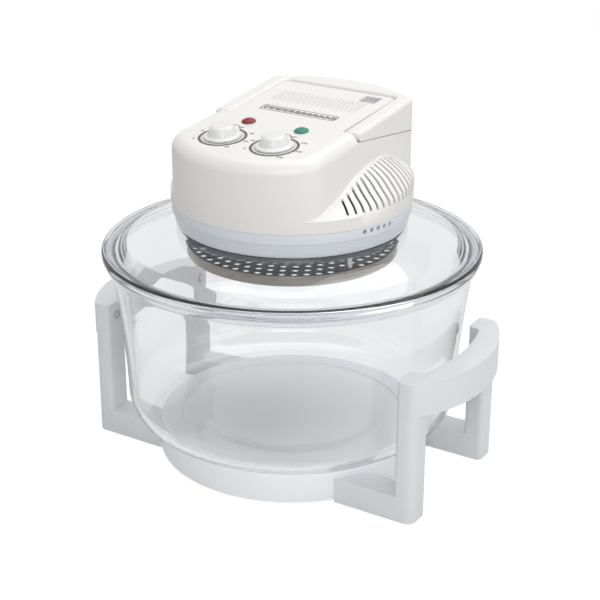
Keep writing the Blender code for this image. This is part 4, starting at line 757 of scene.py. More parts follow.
def top_slot_cutters():
    slots = []
    for i in range(TOP_SLOT_COUNT):
        x = (i - (TOP_SLOT_COUNT - 1) / 2) * TOP_SLOT_PITCH
        place = on_panel(x, TOP_SLOT_FRONT + TOP_SLOT_LENGTH / 2)
        size = (TOP_SLOT_WIDTH, TOP_SLOT_LENGTH)
        slots.append(panel_box(place, size, -TOP_SLOT_DEPTH))
    return slots


def pin_rods(radius, inner, outer):
    """Rods on the carry handle's axis, one on each side, between two distances from the middle."""
    y = HANDLE_PIVOT_BACK
    z = (HANDLE_PIVOT_TOP + seam_height(y) + HANDLE_CLEARANCE) / 2
    return [rod((side * inner, y, z), (side * outer, y, z), radius, 12)
            for side in (1, -1)]


def rear_wall_at(x):
    """Distance back to the outside of the rear wall at a given x."""
    radius = rear_radius(HEAD_HALF_WIDTH)
    return HEAD_REAR - radius + sqrt(radius ** 2 - x ** 2)


def round_handle_ends(handle):
    """Round the lower front edges of the arms, so that they clear the step as they turn."""
    work = opened(handle.data)
    low = seam_height(HANDLE_SHAPE_FRONT) + HANDLE_CLEARANCE
    edges = [edge for edge in work.edges
             if all(abs(v.co.y - HANDLE_SHAPE_FRONT) < GAP and abs(v.co.z - low) < GAP
                    for v in edge.verts)]
    bevel_edges(work, edges, HANDLE_END_ROUND, HANDLE_ROUND_STEPS)
    renew(handle, work)


def polygon(x, y, radius, sides):
    turns = [FULL_TURN * (i + 0.5) / sides for i in range(sides)]
    return [(x + radius * cos(t), y + radius * sin(t)) for t in turns]


DIALS = panel_pair(KNOB_SPACING, KNOB_BACK)
LAMPS = panel_pair(LAMP_SPACING, LAMP_BACK)

# Forms that only the looks have: step in the bowl's floor, knob grips, guard holes
BOWL_STEP = 0.0008
BOWL_STEP_RADIUS = 0.076
BOWL_STEP_SLOPE = 0.011
GRIP_HEIGHT = 0.0106
GRIP_TOP_RADIUS = 0.0096
GRIP_FOOT_RADIUS = 0.0124
GRIP_EDGE_ROUND = 0.0013
VENT_SCALE = 1.25
GUARD_HOLE_RADIUS = 0.0030
GUARD_HOLE_RINGS = 9
GUARD_RING_FIRST = 0.0865
GUARD_RING_PITCH = 0.0093
GUARD_HOLE_PITCH = 0.0103

# Prints on the panel
MARK_LIFT = 0.00012
MARK_THICKNESS = 0.00010
DIAL_INNER = 0.0184
DIAL_OUTER = 0.0208
DIAL_TICKS = 31
TICK_INNER = 0.0163
TICK_OUTER = 0.0177
TICK_HALF_WIDTH = 0.00022
NUMBER_RADIUS = 0.0243
NUMBER_SIZE = 0.0042
NUMBER_START, NUMBER_END = 215, -45
DIAL_NUMBERS = ("0 10 20 30 40 50 60", "0 65 125 150 175 200 250")
STRIP_BACK = 0.0103
STRIP_HALF = (0.0385, 0.0055)
ICON_COUNT = 11
ICON_PITCH = 0.0067
ICON_RADIUS = 0.0031

# Camera and stage
WORLD_LEVEL = 0.42
CAMERA_TURN = radians(32.2)
CAMERA_RISE = radians(21.94)
CAMERA_REACH = 1.27355
CAMERA_AIM = Vector((0, 0, 0.150))
CAMERA_LENS = 85.495
CAMERA_SHIFT = (0.01315, -0.01667)
SOFT_LIGHTS = (
    ("overhead", (0.15, 0.25, 1.6), (0, 0, 0.2), (1.6, 1.6), 14.5),
    ("front", (0.60, -1.0, 0.75), (0, 0, 0.28), (0.8, 0.8), 4.8),
    ("right", (1.5, 0.1, 0.55), (0, 0, 0.2), (1.0, 1.2), 3.4),
)

# Glass
GLASS_DEPTH_TINT = (0.0, 0.05, 0.12)
GLASS_DENSITY = 6.5
# Radii from which the rims of bowl and lid take a painted shade, a deeper bluish tint for their
# dark refraction bands
RIM_SHADE_INNER = 0.1562
RIM_SHADE_OUTER = 0.1576


def nodes_of(name):
    material = bpy.data.materials.new(name)
    material.use_nodes = True
    tree = material.node_tree
    return material, tree, tree.nodes["Principled BSDF"]


def feed(tree, node, values):
    """Set a node's inputs. An input whose value is another node's output is linked to it."""
    for key, value in values.items():
        if isinstance(value, bpy.types.NodeSocket):
            tree.links.new(value, node.inputs[key])
        else:
            node.inputs[key].default_value = value


def made(tree, kind, values, out=0, **settings):
    """Add a node and give one of its outputs."""
    node = tree.nodes.new("ShaderNode" + kind)
    for key, value in settings.items():
        setattr(node, key, value)
    feed(tree, node, values)
    return node.outputs[out]


def blend(tree, share, low, high, start=0.0, end=1.0):
    """A colour ramp between two colours."""
    output = made(tree, "ValToRGB", {"Fac": share})
    for stop, colour, position in zip(output.node.color_ramp.elements, (low, high), (start, end)):
        stop.position = position
        stop.color = (*colour, 1)
    return output


def surface(name, colour, roughness, spread, grain, bump, metallic=0.0, edge=0.0006, coat=0.0,
            rough_spread=0.06, specular=0.5):
    """A solid finish: faint colour drift, a fine moulded grain, uneven gloss and soft edges."""
    material, tree, shader = nodes_of(name)
    where = made(tree, "TexCoord", {}, "Object")
    drift = made(tree, "TexNoise", {"Scale": 9.0, "Detail": 3.0, "Vector": where})
    low = [max(c - spread, 0) for c in colour]
    high = [min(c + spread, 1) for c in colour]
    wear = made(tree, "TexNoise", {"Scale": 60.0, "Detail": 4.0, "Vector": where})
    grains = made(tree, "TexNoise", {"Scale": grain, "Detail": 2.0, "Vector": where})
    relief = {"Strength": bump, "Distance": 0.0002, "Height": grains}
    if edge:
        relief["Normal"] = made(tree, "Bevel", {"Radius": edge}, samples=4)
    feed(tree, shader, {
        "Base Color": blend(tree, drift, low, high, 0.3, 0.7),
        "Roughness": made(tree, "MapRange", {
            "Value": wear, "To Min": max(roughness - rough_spread, 0.02),
            "To Max": roughness + rough_spread}),
        "Normal": made(tree, "Bump", relief), "Metallic": metallic, "Coat Weight": coat,
        "Specular IOR Level": specular})
    return material


def clear(name, colour, rim_painted_shade):
    """Clear glass with a very slight waviness, and a deeper bluish tint on the thick rims of bowl
    and lid that is painted shade for the dark refraction bands there.
    """
    material, tree, shader = nodes_of(name)
    where = made(tree, "TexCoord", {}, "Object")
    waves = made(tree, "TexNoise", {"Scale": 14.0, "Vector": where})
    parts = made(tree, "SeparateXYZ", {"Vector": where}).node.outputs
    flat = made(tree, "CombineXYZ", {"X": parts["X"], "Y": parts["Y"]})
    reach = made(tree, "VectorMath", {0: flat}, "Value", operation="LENGTH")
    neck = BOWL_TOP - BOWL_FLANGE_THICKNESS
    spans = [made(tree, "MapRange", {"Value": value, "From Min": low, "From Max": high})
             for value, low, high in ((reach, RIM_SHADE_INNER, RIM_SHADE_OUTER),
                                      (parts["Z"], neck - 0.001, neck))]
    # Mask of the rims that get the painted shade
    rim = made(tree, "Math", dict(enumerate(spans)), operation="MULTIPLY")
    feed(tree, shader, {
        "Base Color": blend(tree, rim, colour, rim_painted_shade), "Roughness": 0.0,
        "Normal": made(tree, "Bump", {"Strength": 0.05, "Distance": 0.0004, "Height": waves}),
        "Transmission Weight": 1.0, "IOR": 1.47})
    shadow = made(tree, "LightPath", {}, "Is Shadow Ray")
    through = made(tree, "BsdfTransparent", {"Color": (1, 1, 1, 1)})
    feed(tree, tree.nodes["Material Output"], {
        "Surface": made(tree, "MixShader", {"Fac": shadow, 1: shader.outputs["BSDF"], 2: through}),
        "Volume": made(tree, "VolumeAbsorption", {"Color": (*GLASS_DEPTH_TINT, 1),
                                                  "Density": GLASS_DENSITY})})
    return material


WHITE = surface("warm_white_gloss", (0.80, 0.79, 0.765), 0.30, 0.004, 1400, 0.012,
                edge=0, coat=0.1, rough_spread=0.02)
KNOB_WHITE = surface("knob_white", (0.75, 0.75, 0.745), 0.24, 0.004, 1400, 0.01,
                     edge=0, coat=0.15, rough_spread=0.02)
GREY = surface("cool_grey_satin", (0.70, 0.725, 0.745), 0.38, 0.008, 1100, 0.04,
               edge=0, rough_spread=0.03)
# Same grey plastic as the side frames, made lighter: painted light for the platform's top, which is
# seen dimmed through the glass bowl
PLATFORM_PAINTED_LIGHT = surface("platform_grey_painted_light", (0.86, 0.885, 0.905), 0.38, 0.008, 1100, 0.04,
                   edge=0, rough_spread=0.03)
WINDOW_GREY = surface("window_grey", (0.40, 0.41, 0.45), 0.35, 0.008, 1100, 0.04)
SKIRT = surface("pale_blue_grey", (0.735, 0.77, 0.825), 0.30, 0.006, 1200, 0.02,
                edge=0, coat=0.1, rough_spread=0.02)
# The second colour is the painted shade on the rims of bowl and lid
GLASS = clear("clear_glass", (0.968, 0.970, 0.973), (0.78, 0.79, 0.835))
SEAL = surface("silicone", (0.50, 0.51, 0.52), 0.6, 0.01, 800, 0.1)
RUBBER = surface("rubber", (0.03, 0.03, 0.03), 0.75, 0.006, 900, 0.25)
STEEL = surface("bright_steel", (0.50, 0.50, 0.50), 0.24, 0.03, 700, 0.08, metallic=1.0)
# Near black: painted shade for the guard and fan motor, which sit in the dark inside of the head
NEAR_BLACK_PAINTED_SHADE = surface("dark_enamel", (0.012, 0.012, 0.011), 0.42, 0.004, 600, 0.15,
                 edge=0, specular=0.22)
RIM = surface("guard_rim", (0.235, 0.215, 0.19), 0.25, 0.03, 500, 0.05, metallic=1.0, edge=0)
# Dark grey: painted shade on the reflector pan, a shiny sheet that lies in the dark inside of the
# head
SHADED_REFLECTOR = surface("reflector_painted_shade", (0.10, 0.10, 0.10), 0.35, 0.02, 500, 0.1, metallic=0.8)
QUARTZ = surface("quartz_tube", (0.75, 0.70, 0.62), 0.15, 0.02, 400, 0.05, edge=0)
CERAMIC = surface("ceramic", (0.80, 0.77, 0.71), 0.6, 0.02, 700, 0.2)
BLACK = surface("dark_plastic", (0.03, 0.03, 0.033), 0.45, 0.008, 1000, 0.1)
RED = surface("red_lens", (0.24, 0.004, 0.005), 0.16, 0.004, 300, 0.02, edge=0, specular=0.35)
GREEN = surface("green_lens", (0.012, 0.21, 0.155), 0.16, 0.006, 300, 0.02,
                edge=0, specular=0.35)
PRINT = surface("dial_print", (0.085, 0.085, 0.09), 0.5, 0.01, 900, 0.02, edge=0)
PRINT_SOFT = surface("strip_print", (0.13, 0.13, 0.13), 0.5, 0.04, 900, 0.02, edge=0)

NODE_LOOKS = (
    (SEAL, "lid_gasket"), (BLACK, "cord_bushing cooling_fan timer_unit safety_switch"),
    # The reflector pan's dark grey is painted shade
    (SHADED_REFLECTOR, "reflector_pan"), (QUARTZ, "heater_tube"), (RED, "power_lamp"),
    (GREEN, "heat_lamp"), (CERAMIC, "heater_socket_left heater_socket_right"),
    (WINDOW_GREY, "switch_cap"), (GLASS, "glass_bowl glass_lid"), (SKIRT, "head_skirt"),
    # The guard's and fan motor's near black is painted shade
    (NEAR_BLACK_PAINTED_SHADE, "fan_motor guard_grille"), (WHITE, "head_housing carry_handle"),
    # The platform's lighter grey is painted light
    (PLATFORM_PAINTED_LIGHT, "base_platform"), (GREY, "side_frame_left side_frame_right"),
    (KNOB_WHITE, "timer_knob thermostat_knob"),
)
LOOK_OF = {name: look for look, names in NODE_LOOKS for name in names.split()}
for name, node in frame["nodes"].items():
    look = LOOK_OF.get(name, RUBBER if name.startswith("foot_pad") else STEEL)
    node.data.materials.clear()
    node.data.materials.append(look)


def show(obj, body, slot, *nodes, in_head=True):
    """Finish a piece, turn it with the head where it belongs to it, and hand it to its body."""
    settle(obj)
    obj.data.transform(obj.matrix_world)
    obj.matrix_world = Matrix()
    if in_head:
        obj.data.transform(Matrix.Rotation(HEAD_TURN, 4, "Z"))
    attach(obj, body)
    if nodes:
        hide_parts(*nodes)
    return obj


def look_platform():
    inner = BASE_RADIUS - BASE_WALL
    seat_inner = BASE_RADIUS - BASE_SEAT_WIDTH
    floor = BASE_TOP - BASE_WALL
    profile = filleted((
        (0, BASE_TOP - BASE_RECESS_DEPTH, 0),
        (seat_inner, BASE_TOP - BASE_RECESS_DEPTH, 0.001), (seat_inner, BASE_TOP, 0.0008),
        (BASE_RADIUS, BASE_TOP, BASE_EDGE_ROUND), (BASE_RADIUS, BASE_UNDERSIDE, 0.001),
        (inner, BASE_UNDERSIDE, 0.0006),
        (inner, floor - BASE_RECESS_DEPTH, BASE_EDGE_ROUND - BASE_WALL),
        (0, floor - BASE_RECESS_DEPTH, 0)), 5)
    # Lighter copy of the stand's grey: painted light
    platform = turned("platform_shell", profile, PLATFORM_PAINTED_LIGHT, 160)
    holes = []
    for hand in (1, -1):
        flip = Matrix.Diagonal((hand, hand, 1))
        for side in (1, -1):
            seat, direction = [flip @ vector for vector in stand_screw_place(side)]
            holes.append(bore(seat, direction, OVERRUN, SCREW_LENGTH, SCREW_BORE, 20))
    cut(platform, joined("platform_holes", holes))
    show(platform, "stand", "cool_grey", "base_platform", in_head=False)


def look_bowl():
    neck = BOWL_TOP - BOWL_FLANGE_THICKNESS
    edge = BOWL_FLANGE_THICKNESS / 3
    inner_edge = BOWL_NECK_RADIUS - BOWL_GLASS
    top = filleted((
        (inner_edge, BOWL_TOP, edge), (BOWL_FLANGE_RADIUS, BOWL_TOP, edge),
        (BOWL_FLANGE_RADIUS, neck, edge), (BOWL_NECK_RADIUS, neck, 0)), 5)
    top = [p for p in top if p[0] > BOWL_NECK_RADIUS + GAP]
    floor = BOWL_BOTTOM + BOWL_GLASS
    step = [(BOWL_STEP_RADIUS + BOWL_STEP_SLOPE * share,
             floor + BOWL_STEP * (1 + cos(pi * share)) / 2) for share in (0, 0.2, 0.4, 0.6, 0.8, 1)]
    loop = [(0, floor + BOWL_STEP)] + step + bowl_wall(BOWL_GLASS, 16)[::-1]
    loop += [(inner_edge, BOWL_TOP - edge), (inner_edge + edge / 3, BOWL_TOP - edge / 4)]
    loop += top + bowl_wall(0, 16) + [(0, BOWL_BOTTOM)]
    bowl = turned("bowl_glass", loop, GLASS, 192)
    show(bowl, "bowl", "clear_glass", "glass_bowl", in_head=False)


def look_lid():
    rim_top = LID_BOTTOM + LID_RIM_HEIGHT
    edge = LID_RIM_HEIGHT / 2.2
    lip_outer = BOWL_NECK_RADIUS - BOWL_GLASS - LID_LIP_CLEARANCE
    lip_inner = lip_outer - LID_LIP_WIDTH
    lip_bottom = LID_BOTTOM - LID_LIP_DEPTH
    dome = lid_dome(20)
    top = filleted((
        (LID_RADIUS - LID_RIM_WIDTH / 2, rim_top, 0.002), (LID_RADIUS, rim_top, edge),
        (LID_RADIUS, LID_BOTTOM, edge / 2), (lip_outer, LID_BOTTOM, 0.001),
        (lip_outer, lip_bottom, edge / 2), (lip_inner, lip_bottom, edge / 2),
        (lip_inner, LID_BOTTOM, 0.001)), 5)
    under = [(x, z - LID_GLASS) for x, z in dome if x < lip_inner - LID_GLASS]
    hole = [(LID_HOLE_RADIUS, LID_LAND_UNDERSIDE), (LID_HOLE_RADIUS, LID_TOP)]
    lid = turned("lid_glass", top + under + hole + dome[::-1], GLASS, 192)
    show(lid, "lid_head", "clear_glass", "glass_lid", in_head=False)


def look_skirt():
    outer, wall = SKIRT_TOP_RADIUS, SKIRT_WALL
    low = SKIRT_BOTTOM_RADIUS
    band = SKIRT_BOTTOM + SKIRT_HEIGHT * SKIRT_BAND_SHARE
    tongue_outer = BULGE_RADIUS - HEAD_WALL - TONGUE_CLEARANCE
    floor_inner = PAN_NECK_RADIUS + GAP
    profile = filleted((
        (tongue_outer, SKIRT_TOP + SKIRT_TONGUE, 0), (tongue_outer, SKIRT_TOP, 0),
        (outer, SKIRT_TOP, 0.0008), (outer - SKIRT_STEP, band + SKIRT_STEP, 0.004),
        (outer - 2 * SKIRT_STEP, band, 0.0015),
        (low + wall / 2, SKIRT_BOTTOM + wall * 1.5, 0.006), (low, SKIRT_BOTTOM, 0.0012),
        (low - wall, SKIRT_BOTTOM, 0.0004), (low - wall, SKIRT_FLOOR_UNDERSIDE, 0),
        (floor_inner, SKIRT_FLOOR_UNDERSIDE, 0), (floor_inner, SKIRT_FLOOR_TOP, 0),
        (low - wall, SKIRT_FLOOR_TOP, 0), (tongue_outer - wall, band, 0),
        (tongue_outer - wall, SKIRT_TOP + SKIRT_TONGUE, 0)), 5)
    skirt = turned("skirt_ring", profile, SKIRT, 160)
    stays = ring_places(STANDOFF_RING, STANDOFF_COUNT, STANDOFF_FIRST, PAN_TOP + GAP)
    for place in stays:
        top = place.copy()
        top.z = SKIRT_FLOOR_TOP - SKIRT_FLOOR / 2
        unite(skirt, rod(place, top, BOSS_RADIUS, 28))
    settle(skirt)
    holes = screw_bores(stays, OVERRUN / 2, BOSS_THREAD_DEPTH + GAP)
    holes += screw_bores(housing_screw_places(SKIRT_FLOOR_UNDERSIDE), OVERRUN / 4,
                         SKIRT_FLOOR + OVERRUN)
    height = SKIRT_TOP - SKIRT_VENT_DROP
    for side in (0, 1):
        for i in range(SKIRT_VENT_COUNT):
            turn = SKIRT_VENT_FIRST + SKIRT_VENT_PITCH * i
            direction = ray(pi - turn if side else turn)
            holes.append(bore(direction * outer + UP * height, direction, wall + OVERRUN, OVERRUN,
                              SKIRT_VENT_RADIUS * VENT_SCALE, 24))
    cut(skirt, joined("skirt_holes", holes))
    show(skirt, "lid_head", "skirt_blue", "head_skirt")


def head_solid(name, inset, lower, material=None):
    """The housing's outer form, or one that lies a distance inside it."""
    solid = head_block(name, inset, lower, material)
    unite(solid, head_bulge(name + "_bulge", inset, lower))
    cut(solid, handle_recess(name + "_recess", inset))
    settle(solid)
    return solid


def look_housing():
    shell = head_solid("housing_shell", 0, HOUSING_BOTTOM, WHITE)
    cut(shell, head_solid("core", HEAD_WALL, HOUSING_BOTTOM - OVERRUN))
    settle(shell)
    columns = []
    for place in housing_screw_places(SKIRT_FLOOR_TOP + GAP):
        roof = on_panel(place.x, place.y).z
        if place.y > HANDLE_SHAPE_FRONT:
            roof = seam_height(place.y)
        top = Vector((place.x, place.y, roof - HEAD_WALL / 2))
        columns.append(rod(place, top, COLUMN_RADIUS, 20))
    unite(shell, joined("columns", columns))
    settle(shell)
    holes = louvre_cutters() + top_slot_cutters()
    holes += [panel_bore(place, SPINDLE_RADIUS + SPINDLE_CLEARANCE, 24) for place in DIALS]
    holes += [panel_bore(place, LAMP_STEM_RADIUS + GAP, 32) for place in LAMPS]
    holes.append(panel_box(on_panel(*SWITCH_CENTRE), SWITCH_WINDOW, -HEAD_WALL - OVERRUN))
    wall = handle_inner_outline(0)[0]
    holes += pin_rods(PIN_RADIUS + GAP, wall - HEAD_WALL - OVERRUN, wall + OVERRUN)
    place = Vector((BUSHING_ACROSS, rear_wall_at(BUSHING_ACROSS), HOUSING_BOTTOM + BUSHING_LIFT))
    holes.append(bore(place, Vector((0, 1, 0)), HEAD_WALL + 2 * OVERRUN, OVERRUN,
                      BUSHING_RADIUS + GAP, 32))
    cut(shell, joined("housing_holes", holes))
    settle(shell)
    bores = screw_bores(housing_screw_places(SKIRT_FLOOR_TOP), OVERRUN, SCREW_LENGTH)
    cut(shell, joined("housing_bores", bores))
    show(shell, "lid_head", "warm_white", "head_housing")


def look_handle():
    side = handle_inner_outline(-HANDLE_SIDE_CLEARANCE)[0]
    rear = handle_inner_outline(-HANDLE_REAR_CLEARANCE)[1]
    outer = [p for p in head_outline(0) if p[1] > HANDLE_SHAPE_FRONT]
    right = [(HEAD_HALF_WIDTH, HANDLE_SHAPE_FRONT, 0)]
    left = [(-HEAD_HALF_WIDTH, HANDLE_SHAPE_FRONT, 0)]
    inner = [
        (-side, HANDLE_SHAPE_FRONT, 0), (-side, rear, HANDLE_INNER_ROUND),
        (side, rear, HANDLE_INNER_ROUND),
        (side, HANDLE_SHAPE_FRONT, 0)]
    outline = filleted(right + [(x, y, 0) for x, y in outer] + left + inner, 8)
    handle = prism("carry_handle_bar", [outline], 0, HANDLE_PIVOT_TOP, WHITE)
    for vert in handle.data.vertices:
        y = vert.co.y
        if vert.co.z < HANDLE_PIVOT_TOP / 2:
            vert.co.z = seam_height(y) + HANDLE_CLEARANCE
        else:
            vert.co.z = HANDLE_PIVOT_TOP + HANDLE_TOP_SLOPE * (y - HANDLE_PIVOT_BACK)
    bevel_top(handle, HANDLE_EDGE_ROUND, HANDLE_ROUND_STEPS)
    round_handle_ends(handle)
    pin_end = side + PIN_ARM_DEPTH + GAP
    cut(handle, joined("pin_holes", pin_rods(PIN_RADIUS + GAP, side - OVERRUN, pin_end)))
    show(handle, "carry_handle", "warm_white", "carry_handle")


def look_frame(end, hand):
    """One side frame: a bar over two legs with an arch between them, and two arms."""
    name = "side_frame_moulding_" + end
    haunch = BAR_BOTTOM - WINDOW_ROUND
    piece = prism(name, [bar_outline()], BAR_BOTTOM, BAR_TOP, GREY)
    half = FRAME_HALF_DEPTH - LEG_WIDTH
    low = FOOT_CLEARANCE - OVERRUN
    window = filleted((
        (half, low, 0), (half, BAR_BOTTOM, WINDOW_ROUND), (-half, BAR_BOTTOM, WINDOW_ROUND),
        (-half, low, 0)), 10)
    opening = prism("window", [window], 0, BAR_REACH + OVERRUN)
    opening.data.transform(Matrix.Rotation(pi / 2, 4, "Z") @ Matrix.Rotation(pi / 2, 4, "X"))
    for side in (1, -1):
        reach = half - WINDOW_ROUND + GAP
        block = [(LEG_INNER + LEG_INNER_ROUND, reach * side), (LEG_OUTER, reach * side),
                 (LEG_OUTER, (half + LEG_INNER_ROUND) * side),
                 (LEG_INNER + LEG_INNER_ROUND, (half + LEG_INNER_ROUND) * side)]
        unite(piece, prism("haunch", [block], haunch, BAR_BOTTOM + GAP))
    settle(piece)
    cut(piece, opening)
    for side in (1, -1):
        leg = prism("leg", [leg_outline(side)], FOOT_CLEARANCE, BAR_TOP)
        arm = prism("arm", [arm_outline(side)], FOOT_CLEARANCE, ARM_HEIGHT)
        unite(piece, leg, arm)
    settle(piece)
    rounded_edges(piece, FRAME_EDGE_ROUND, 6)
    settle(piece)
    cut(piece, joined(name + "_holes", frame_holes(1) + frame_holes(-1)))
    settle(piece)
    if hand < 0:
        piece.data.transform(Matrix.Rotation(pi, 4, "Z"))
    show(piece, "stand", "cool_grey", "side_frame_" + end, in_head=False)


def look_guard():
    rim_inner = GUARD_RADIUS - GUARD_SHEET
    # The guard disc is drawn near black, painted shade from the dark inside of the head above it
    disc = turned("guard_disc", ((0, GUARD_TOP), (rim_inner - GAP / 4, GUARD_TOP),
                                 (rim_inner - GAP / 4, GUARD_UNDERSIDE), (0, GUARD_UNDERSIDE)),
                  NEAR_BLACK_PAINTED_SHADE, 128)
    loops = [polygon(x, y, GUARD_HOLE_RADIUS, 16) for x, y in fine_guard_holes()]
    for place in ring_places(STANDOFF_RING, STANDOFF_COUNT, STANDOFF_FIRST, 0):
        loops.append(polygon(place.x, place.y, SCREW_BORE, 16))
    low, high = GUARD_UNDERSIDE - GUARD_SHEET, GUARD_TOP + GUARD_SHEET
    cut(disc, prism("guard_holes", loops, low, high))
    show(disc, "lid_head", "dark_enamel", "guard_grille")
    rim = turned("guard_rim_band", filleted((
        (rim_inner, GUARD_TOP, 0), (GUARD_RADIUS, GUARD_TOP, GUARD_SHEET * 0.8),
        (GUARD_RADIUS, GUARD_TOP - GUARD_RIM, GUARD_SHEET / 3),
        (rim_inner, GUARD_TOP - GUARD_RIM, GUARD_SHEET / 3)), 4), RIM, 160)
    show(rim, "lid_head", "dark_enamel")


def fine_guard_holes():
    """Centres of the guard's holes, in rings that leave the stays' seats free."""
    centres = []
    stays = ring_places(STANDOFF_RING, STANDOFF_COUNT, STANDOFF_FIRST, 0)
    for number in range(GUARD_HOLE_RINGS):
        radius = GUARD_RING_FIRST - GUARD_RING_PITCH * number
        count = max(4, round(FULL_TURN * radius / GUARD_HOLE_PITCH))
        for i in range(count):
            turn = FULL_TURN * i / count
            x, y = radius * cos(turn), radius * sin(turn)
            if all(hypot(x - s.x, y - s.y) > GUARD_SPOKE_HALF for s in stays):
                centres.append((x, y))
    return centres


def look_knob(control, place):
    name, node = control + "_dial", control + "_knob"
    low = KNOB_CLEARANCE
    profile = filleted((
        (0, GRIP_HEIGHT, 0), (GRIP_TOP_RADIUS, GRIP_HEIGHT, 0.0042),
        (GRIP_FOOT_RADIUS, KNOB_FLANGE * 0.7, 0.0016),
        (KNOB_RADIUS, low + KNOB_FLANGE * 0.3, 0.0006), (KNOB_RADIUS, low, 0.0004),
        (0, low, 0)), 8)
    knob = turned(name, profile, KNOB_WHITE, 96)
    scoops = []
    for side in (1, -1):
        x = side * (KNOB_GRIP_HALF + KNOB_SCOOP_RADIUS)
        z = KNOB_FLANGE + low + KNOB_SCOOP_RADIUS
        scoops.append(rod((x, -KNOB_RADIUS - OVERRUN, z), (x, KNOB_RADIUS + OVERRUN, z),
                          KNOB_SCOOP_RADIUS, 128))
    cut(knob, joined(name + "_scoops", scoops))
    settle(knob)
    rounded_edges(knob, GRIP_EDGE_ROUND, 4, 0.6)
    settle(knob)
    cut(knob, rod((0, 0, low - OVERRUN), (0, 0, SPINDLE_KNOB_DEPTH + GAP),
                  SPINDLE_RADIUS + GAP, 24))
    settle(knob)
    show(set_on_panel(knob, place), node, "warm_white", node)


def flat_mark(loops, place, material):
    """Thin printed shape laid on the sloping panel."""
    mark = prism("mark", loops, MARK_LIFT - MARK_THICKNESS, MARK_LIFT, material)
    return set_on_panel(mark, place)


def ring_band(inner, outer, start, end, count):
    return arc(outer, start, end, count) + arc(inner, end, start, count)


def look_prints(places):
    """Dial rings with ticks and pointer lines, and a bare printed strip."""
    marks = []
    ring = ring_band(DIAL_INNER, DIAL_OUTER, radians(-205), radians(80), 48)
    pointer = [(-0.0168, 0.0266), (-0.0032, 0.0266), (0.0032, 0.0201),
               (0.0038, 0.0206), (-0.0028, 0.0273), (-0.0168, 0.0273)]
    for place in places:
        marks.append(flat_mark([ring], place, PRINT))
        for number in range(DIAL_TICKS):
            turn = radians(-208 + 280 * number / (DIAL_TICKS - 1))
            side = Vector((-sin(turn), cos(turn))) * TICK_HALF_WIDTH
            near = Vector((cos(turn), sin(turn))) * TICK_INNER
            far = near * (TICK_OUTER / TICK_INNER)
            loop = [tuple(p) for p in (near - side, far - side, far + side, near + side)]
            marks.append(flat_mark([loop], place, PRINT))
        marks.append(flat_mark([pointer], place, PRINT))
        marks.append(flat_mark([polygon(-0.0176, 0.0270, 0.0011, 16)], place, PRINT))
    show(joined("dial_marks", marks, PRINT), "lid_head", "dark_plastic")
    x, y = STRIP_HALF
    outline = filleted([(a * x, b * y, 0.002) for a, b in ((-1, -1), (1, -1), (1, 1), (-1, 1))], 4)
    hole = [(x * 0.978, y * 0.86) for x, y in outline]
    strip = [flat_mark([outline, hole], on_panel(0, STRIP_BACK), PRINT_SOFT)]
    bar = [(x * 0.00045, y * 0.0036) for x, y in ((-1, -1), (1, -0.2), (1, 1), (-1, 0.4))]
    for i in range(ICON_COUNT):
        x = (i - (ICON_COUNT - 1) / 2) * ICON_PITCH
        icon = [ring_band(ICON_RADIUS * 0.58, ICON_RADIUS, 0.3 * i, 0.3 * i + 5.2, 20),
                polygon(0, 0, ICON_RADIUS * 0.42, 4 + i % 3)]
        strip.append(flat_mark(icon, on_panel(x, STRIP_BACK), PRINT_SOFT))
        strip.append(flat_mark([bar], on_panel(x + 0.0034, STRIP_BACK), PRINT_SOFT))
    show(joined("printed_strip", strip, PRINT_SOFT), "lid_head", "dark_plastic")


def look_numbers(place, name, values):
    """Plain numbers round one dial."""
    pieces = []
    for i, text in enumerate(values):
        turn = radians(NUMBER_START + (NUMBER_END - NUMBER_START) * i / (len(values) - 1))
        curve = bpy.data.curves.new("number", "FONT")
        curve.body = text
        curve.size = NUMBER_SIZE
        curve.align_x = curve.align_y = "CENTER"
        curve.resolution_u = 2
        curve.extrude = 0.00004
        sketch = add_object("number", curve)
        bpy.context.view_layer.update()
        mesh = evaluated_mesh(sketch)
        bpy.data.objects.remove(sketch)
        spot = (NUMBER_RADIUS * cos(turn), NUMBER_RADIUS * sin(turn), 0.0001)
        mesh.transform(Matrix.Translation(spot))
        pieces.append(set_on_panel(add_object("number_piece", mesh, PRINT), place))
    show(joined(name, pieces, PRINT), "lid_head", "dark_plastic")


def look_lamp(name, place, material, slot, node):
    dome_radius = (LAMP_RADIUS ** 2 + LAMP_DOME ** 2) / (2 * LAMP_DOME)
    reach = asin(LAMP_RADIUS / dome_radius)
    top = LAMP_FLANGE + LAMP_DOME
    profile = [(dome_radius * sin(reach * i / 12), top - dome_radius * (1 - cos(reach * i / 12)))
               for i in range(13)]
    profile[0] = (0, top)
    profile += [(LAMP_RADIUS, GAP), (LAMP_STEM_RADIUS, GAP),
                (LAMP_STEM_RADIUS, -LAMP_STEM_LENGTH), (0, -LAMP_STEM_LENGTH)]
    lamp = turned(name, profile, material, 48)
    settle(lamp)
    show(set_on_panel(lamp, place), "lid_head", slot, node)


# Stage

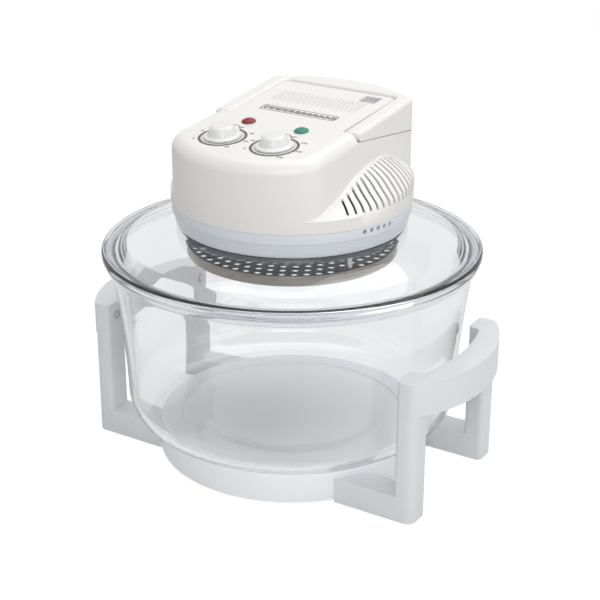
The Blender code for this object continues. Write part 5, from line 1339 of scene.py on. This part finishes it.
def plain_stage():
    """A floor that shows white to the camera, and a white room that lights softly."""
    material, tree, shader = nodes_of("floor")
    feed(tree, shader, {"Base Color": (0.85, 0.85, 0.85, 1), "Roughness": 0.9,
                        "Specular IOR Level": 0.1})
    glow = made(tree, "Emission", {"Color": (1, 1, 1, 1), "Strength": 1.15})
    rays = made(tree, "LightPath", {}).node.outputs
    shares = [made(tree, "Math", {0: rays[ray], 1: share}, operation="MULTIPLY")
              for ray, share in (("Is Camera Ray", 0.80), ("Is Transmission Ray", 0.45))]
    seen = made(tree, "Math", dict(enumerate(shares)), operation="MAXIMUM")
    feed(tree, tree.nodes["Material Output"], {"Surface": made(tree, "MixShader", {
        "Fac": seen, 1: shader.outputs["BSDF"], 2: glow})})
    work = bmesh.new()
    bmesh.ops.create_grid(work, x_segments=1, y_segments=1, size=6)
    add_object("floor", mesh_from("floor", work), material)
    world = bpy.data.worlds.new("studio")
    bpy.context.scene.world = world
    world.use_nodes = True
    tree = world.node_tree
    rays = made(tree, "LightPath", {}).node.outputs
    seen = rays["Is Camera Ray"]
    for ray in ("Is Transmission Ray", "Is Glossy Ray"):
        seen = made(tree, "Math", {0: seen, 1: rays[ray]}, operation="MAXIMUM")
    level = made(tree, "MapRange", {"To Min": WORLD_LEVEL, "To Max": 1.0, "Value": seen})
    feed(tree, tree.nodes["Background"], {"Strength": level, "Color": (1, 1, 1, 1)})


def soft_light(name, place, aim, size, power):
    data = bpy.data.lights.new(name, "AREA")
    data.shape = "RECTANGLE"
    data.size, data.size_y = size
    data.energy = power
    lamp = bpy.data.objects.new(name, data)
    PARTS.objects.link(lamp)
    lamp.location = place
    lamp.rotation_euler = (Vector(aim) - Vector(place)).to_track_quat("-Z", "Y").to_euler()


def lights_and_camera():
    for light in SOFT_LIGHTS:
        soft_light(*light)
    data = bpy.data.cameras.new("camera")
    data.sensor_width = 36
    data.lens = CAMERA_LENS
    data.shift_x, data.shift_y = CAMERA_SHIFT
    data.clip_start = 0.05
    camera = bpy.data.objects.new("camera", data)
    PARTS.objects.link(camera)
    flat = cos(CAMERA_RISE)
    away = Vector((sin(CAMERA_TURN) * flat, -cos(CAMERA_TURN) * flat, sin(CAMERA_RISE)))
    camera.location = CAMERA_AIM + away * CAMERA_REACH
    camera.rotation_euler = (-away).to_track_quat("-Z", "Y").to_euler()
    bpy.context.scene.camera = camera
    bpy.context.scene.view_settings.view_transform = "Standard"


look_platform()
look_bowl()
look_lid()
look_skirt()
look_housing()
look_handle()
look_frame("right", 1)
look_frame("left", -1)
look_guard()
look_knob("timer", DIALS[0])
look_knob("thermostat", DIALS[1])
look_lamp("red_lamp_lens", LAMPS[0], RED, "red_lens", "power_lamp")
look_lamp("green_lamp_lens", LAMPS[1], GREEN, "green_lens", "heat_lamp")
look_prints(DIALS)
for number, (place, values) in enumerate(zip(DIALS, DIAL_NUMBERS), 1):
    look_numbers(place, "dial_numbers_%d" % number, values.split())
plain_stage()
lights_and_camera()
for leftover in list(CUTTERS.objects):
    bpy.data.objects.remove(leftover, do_unlink=True)
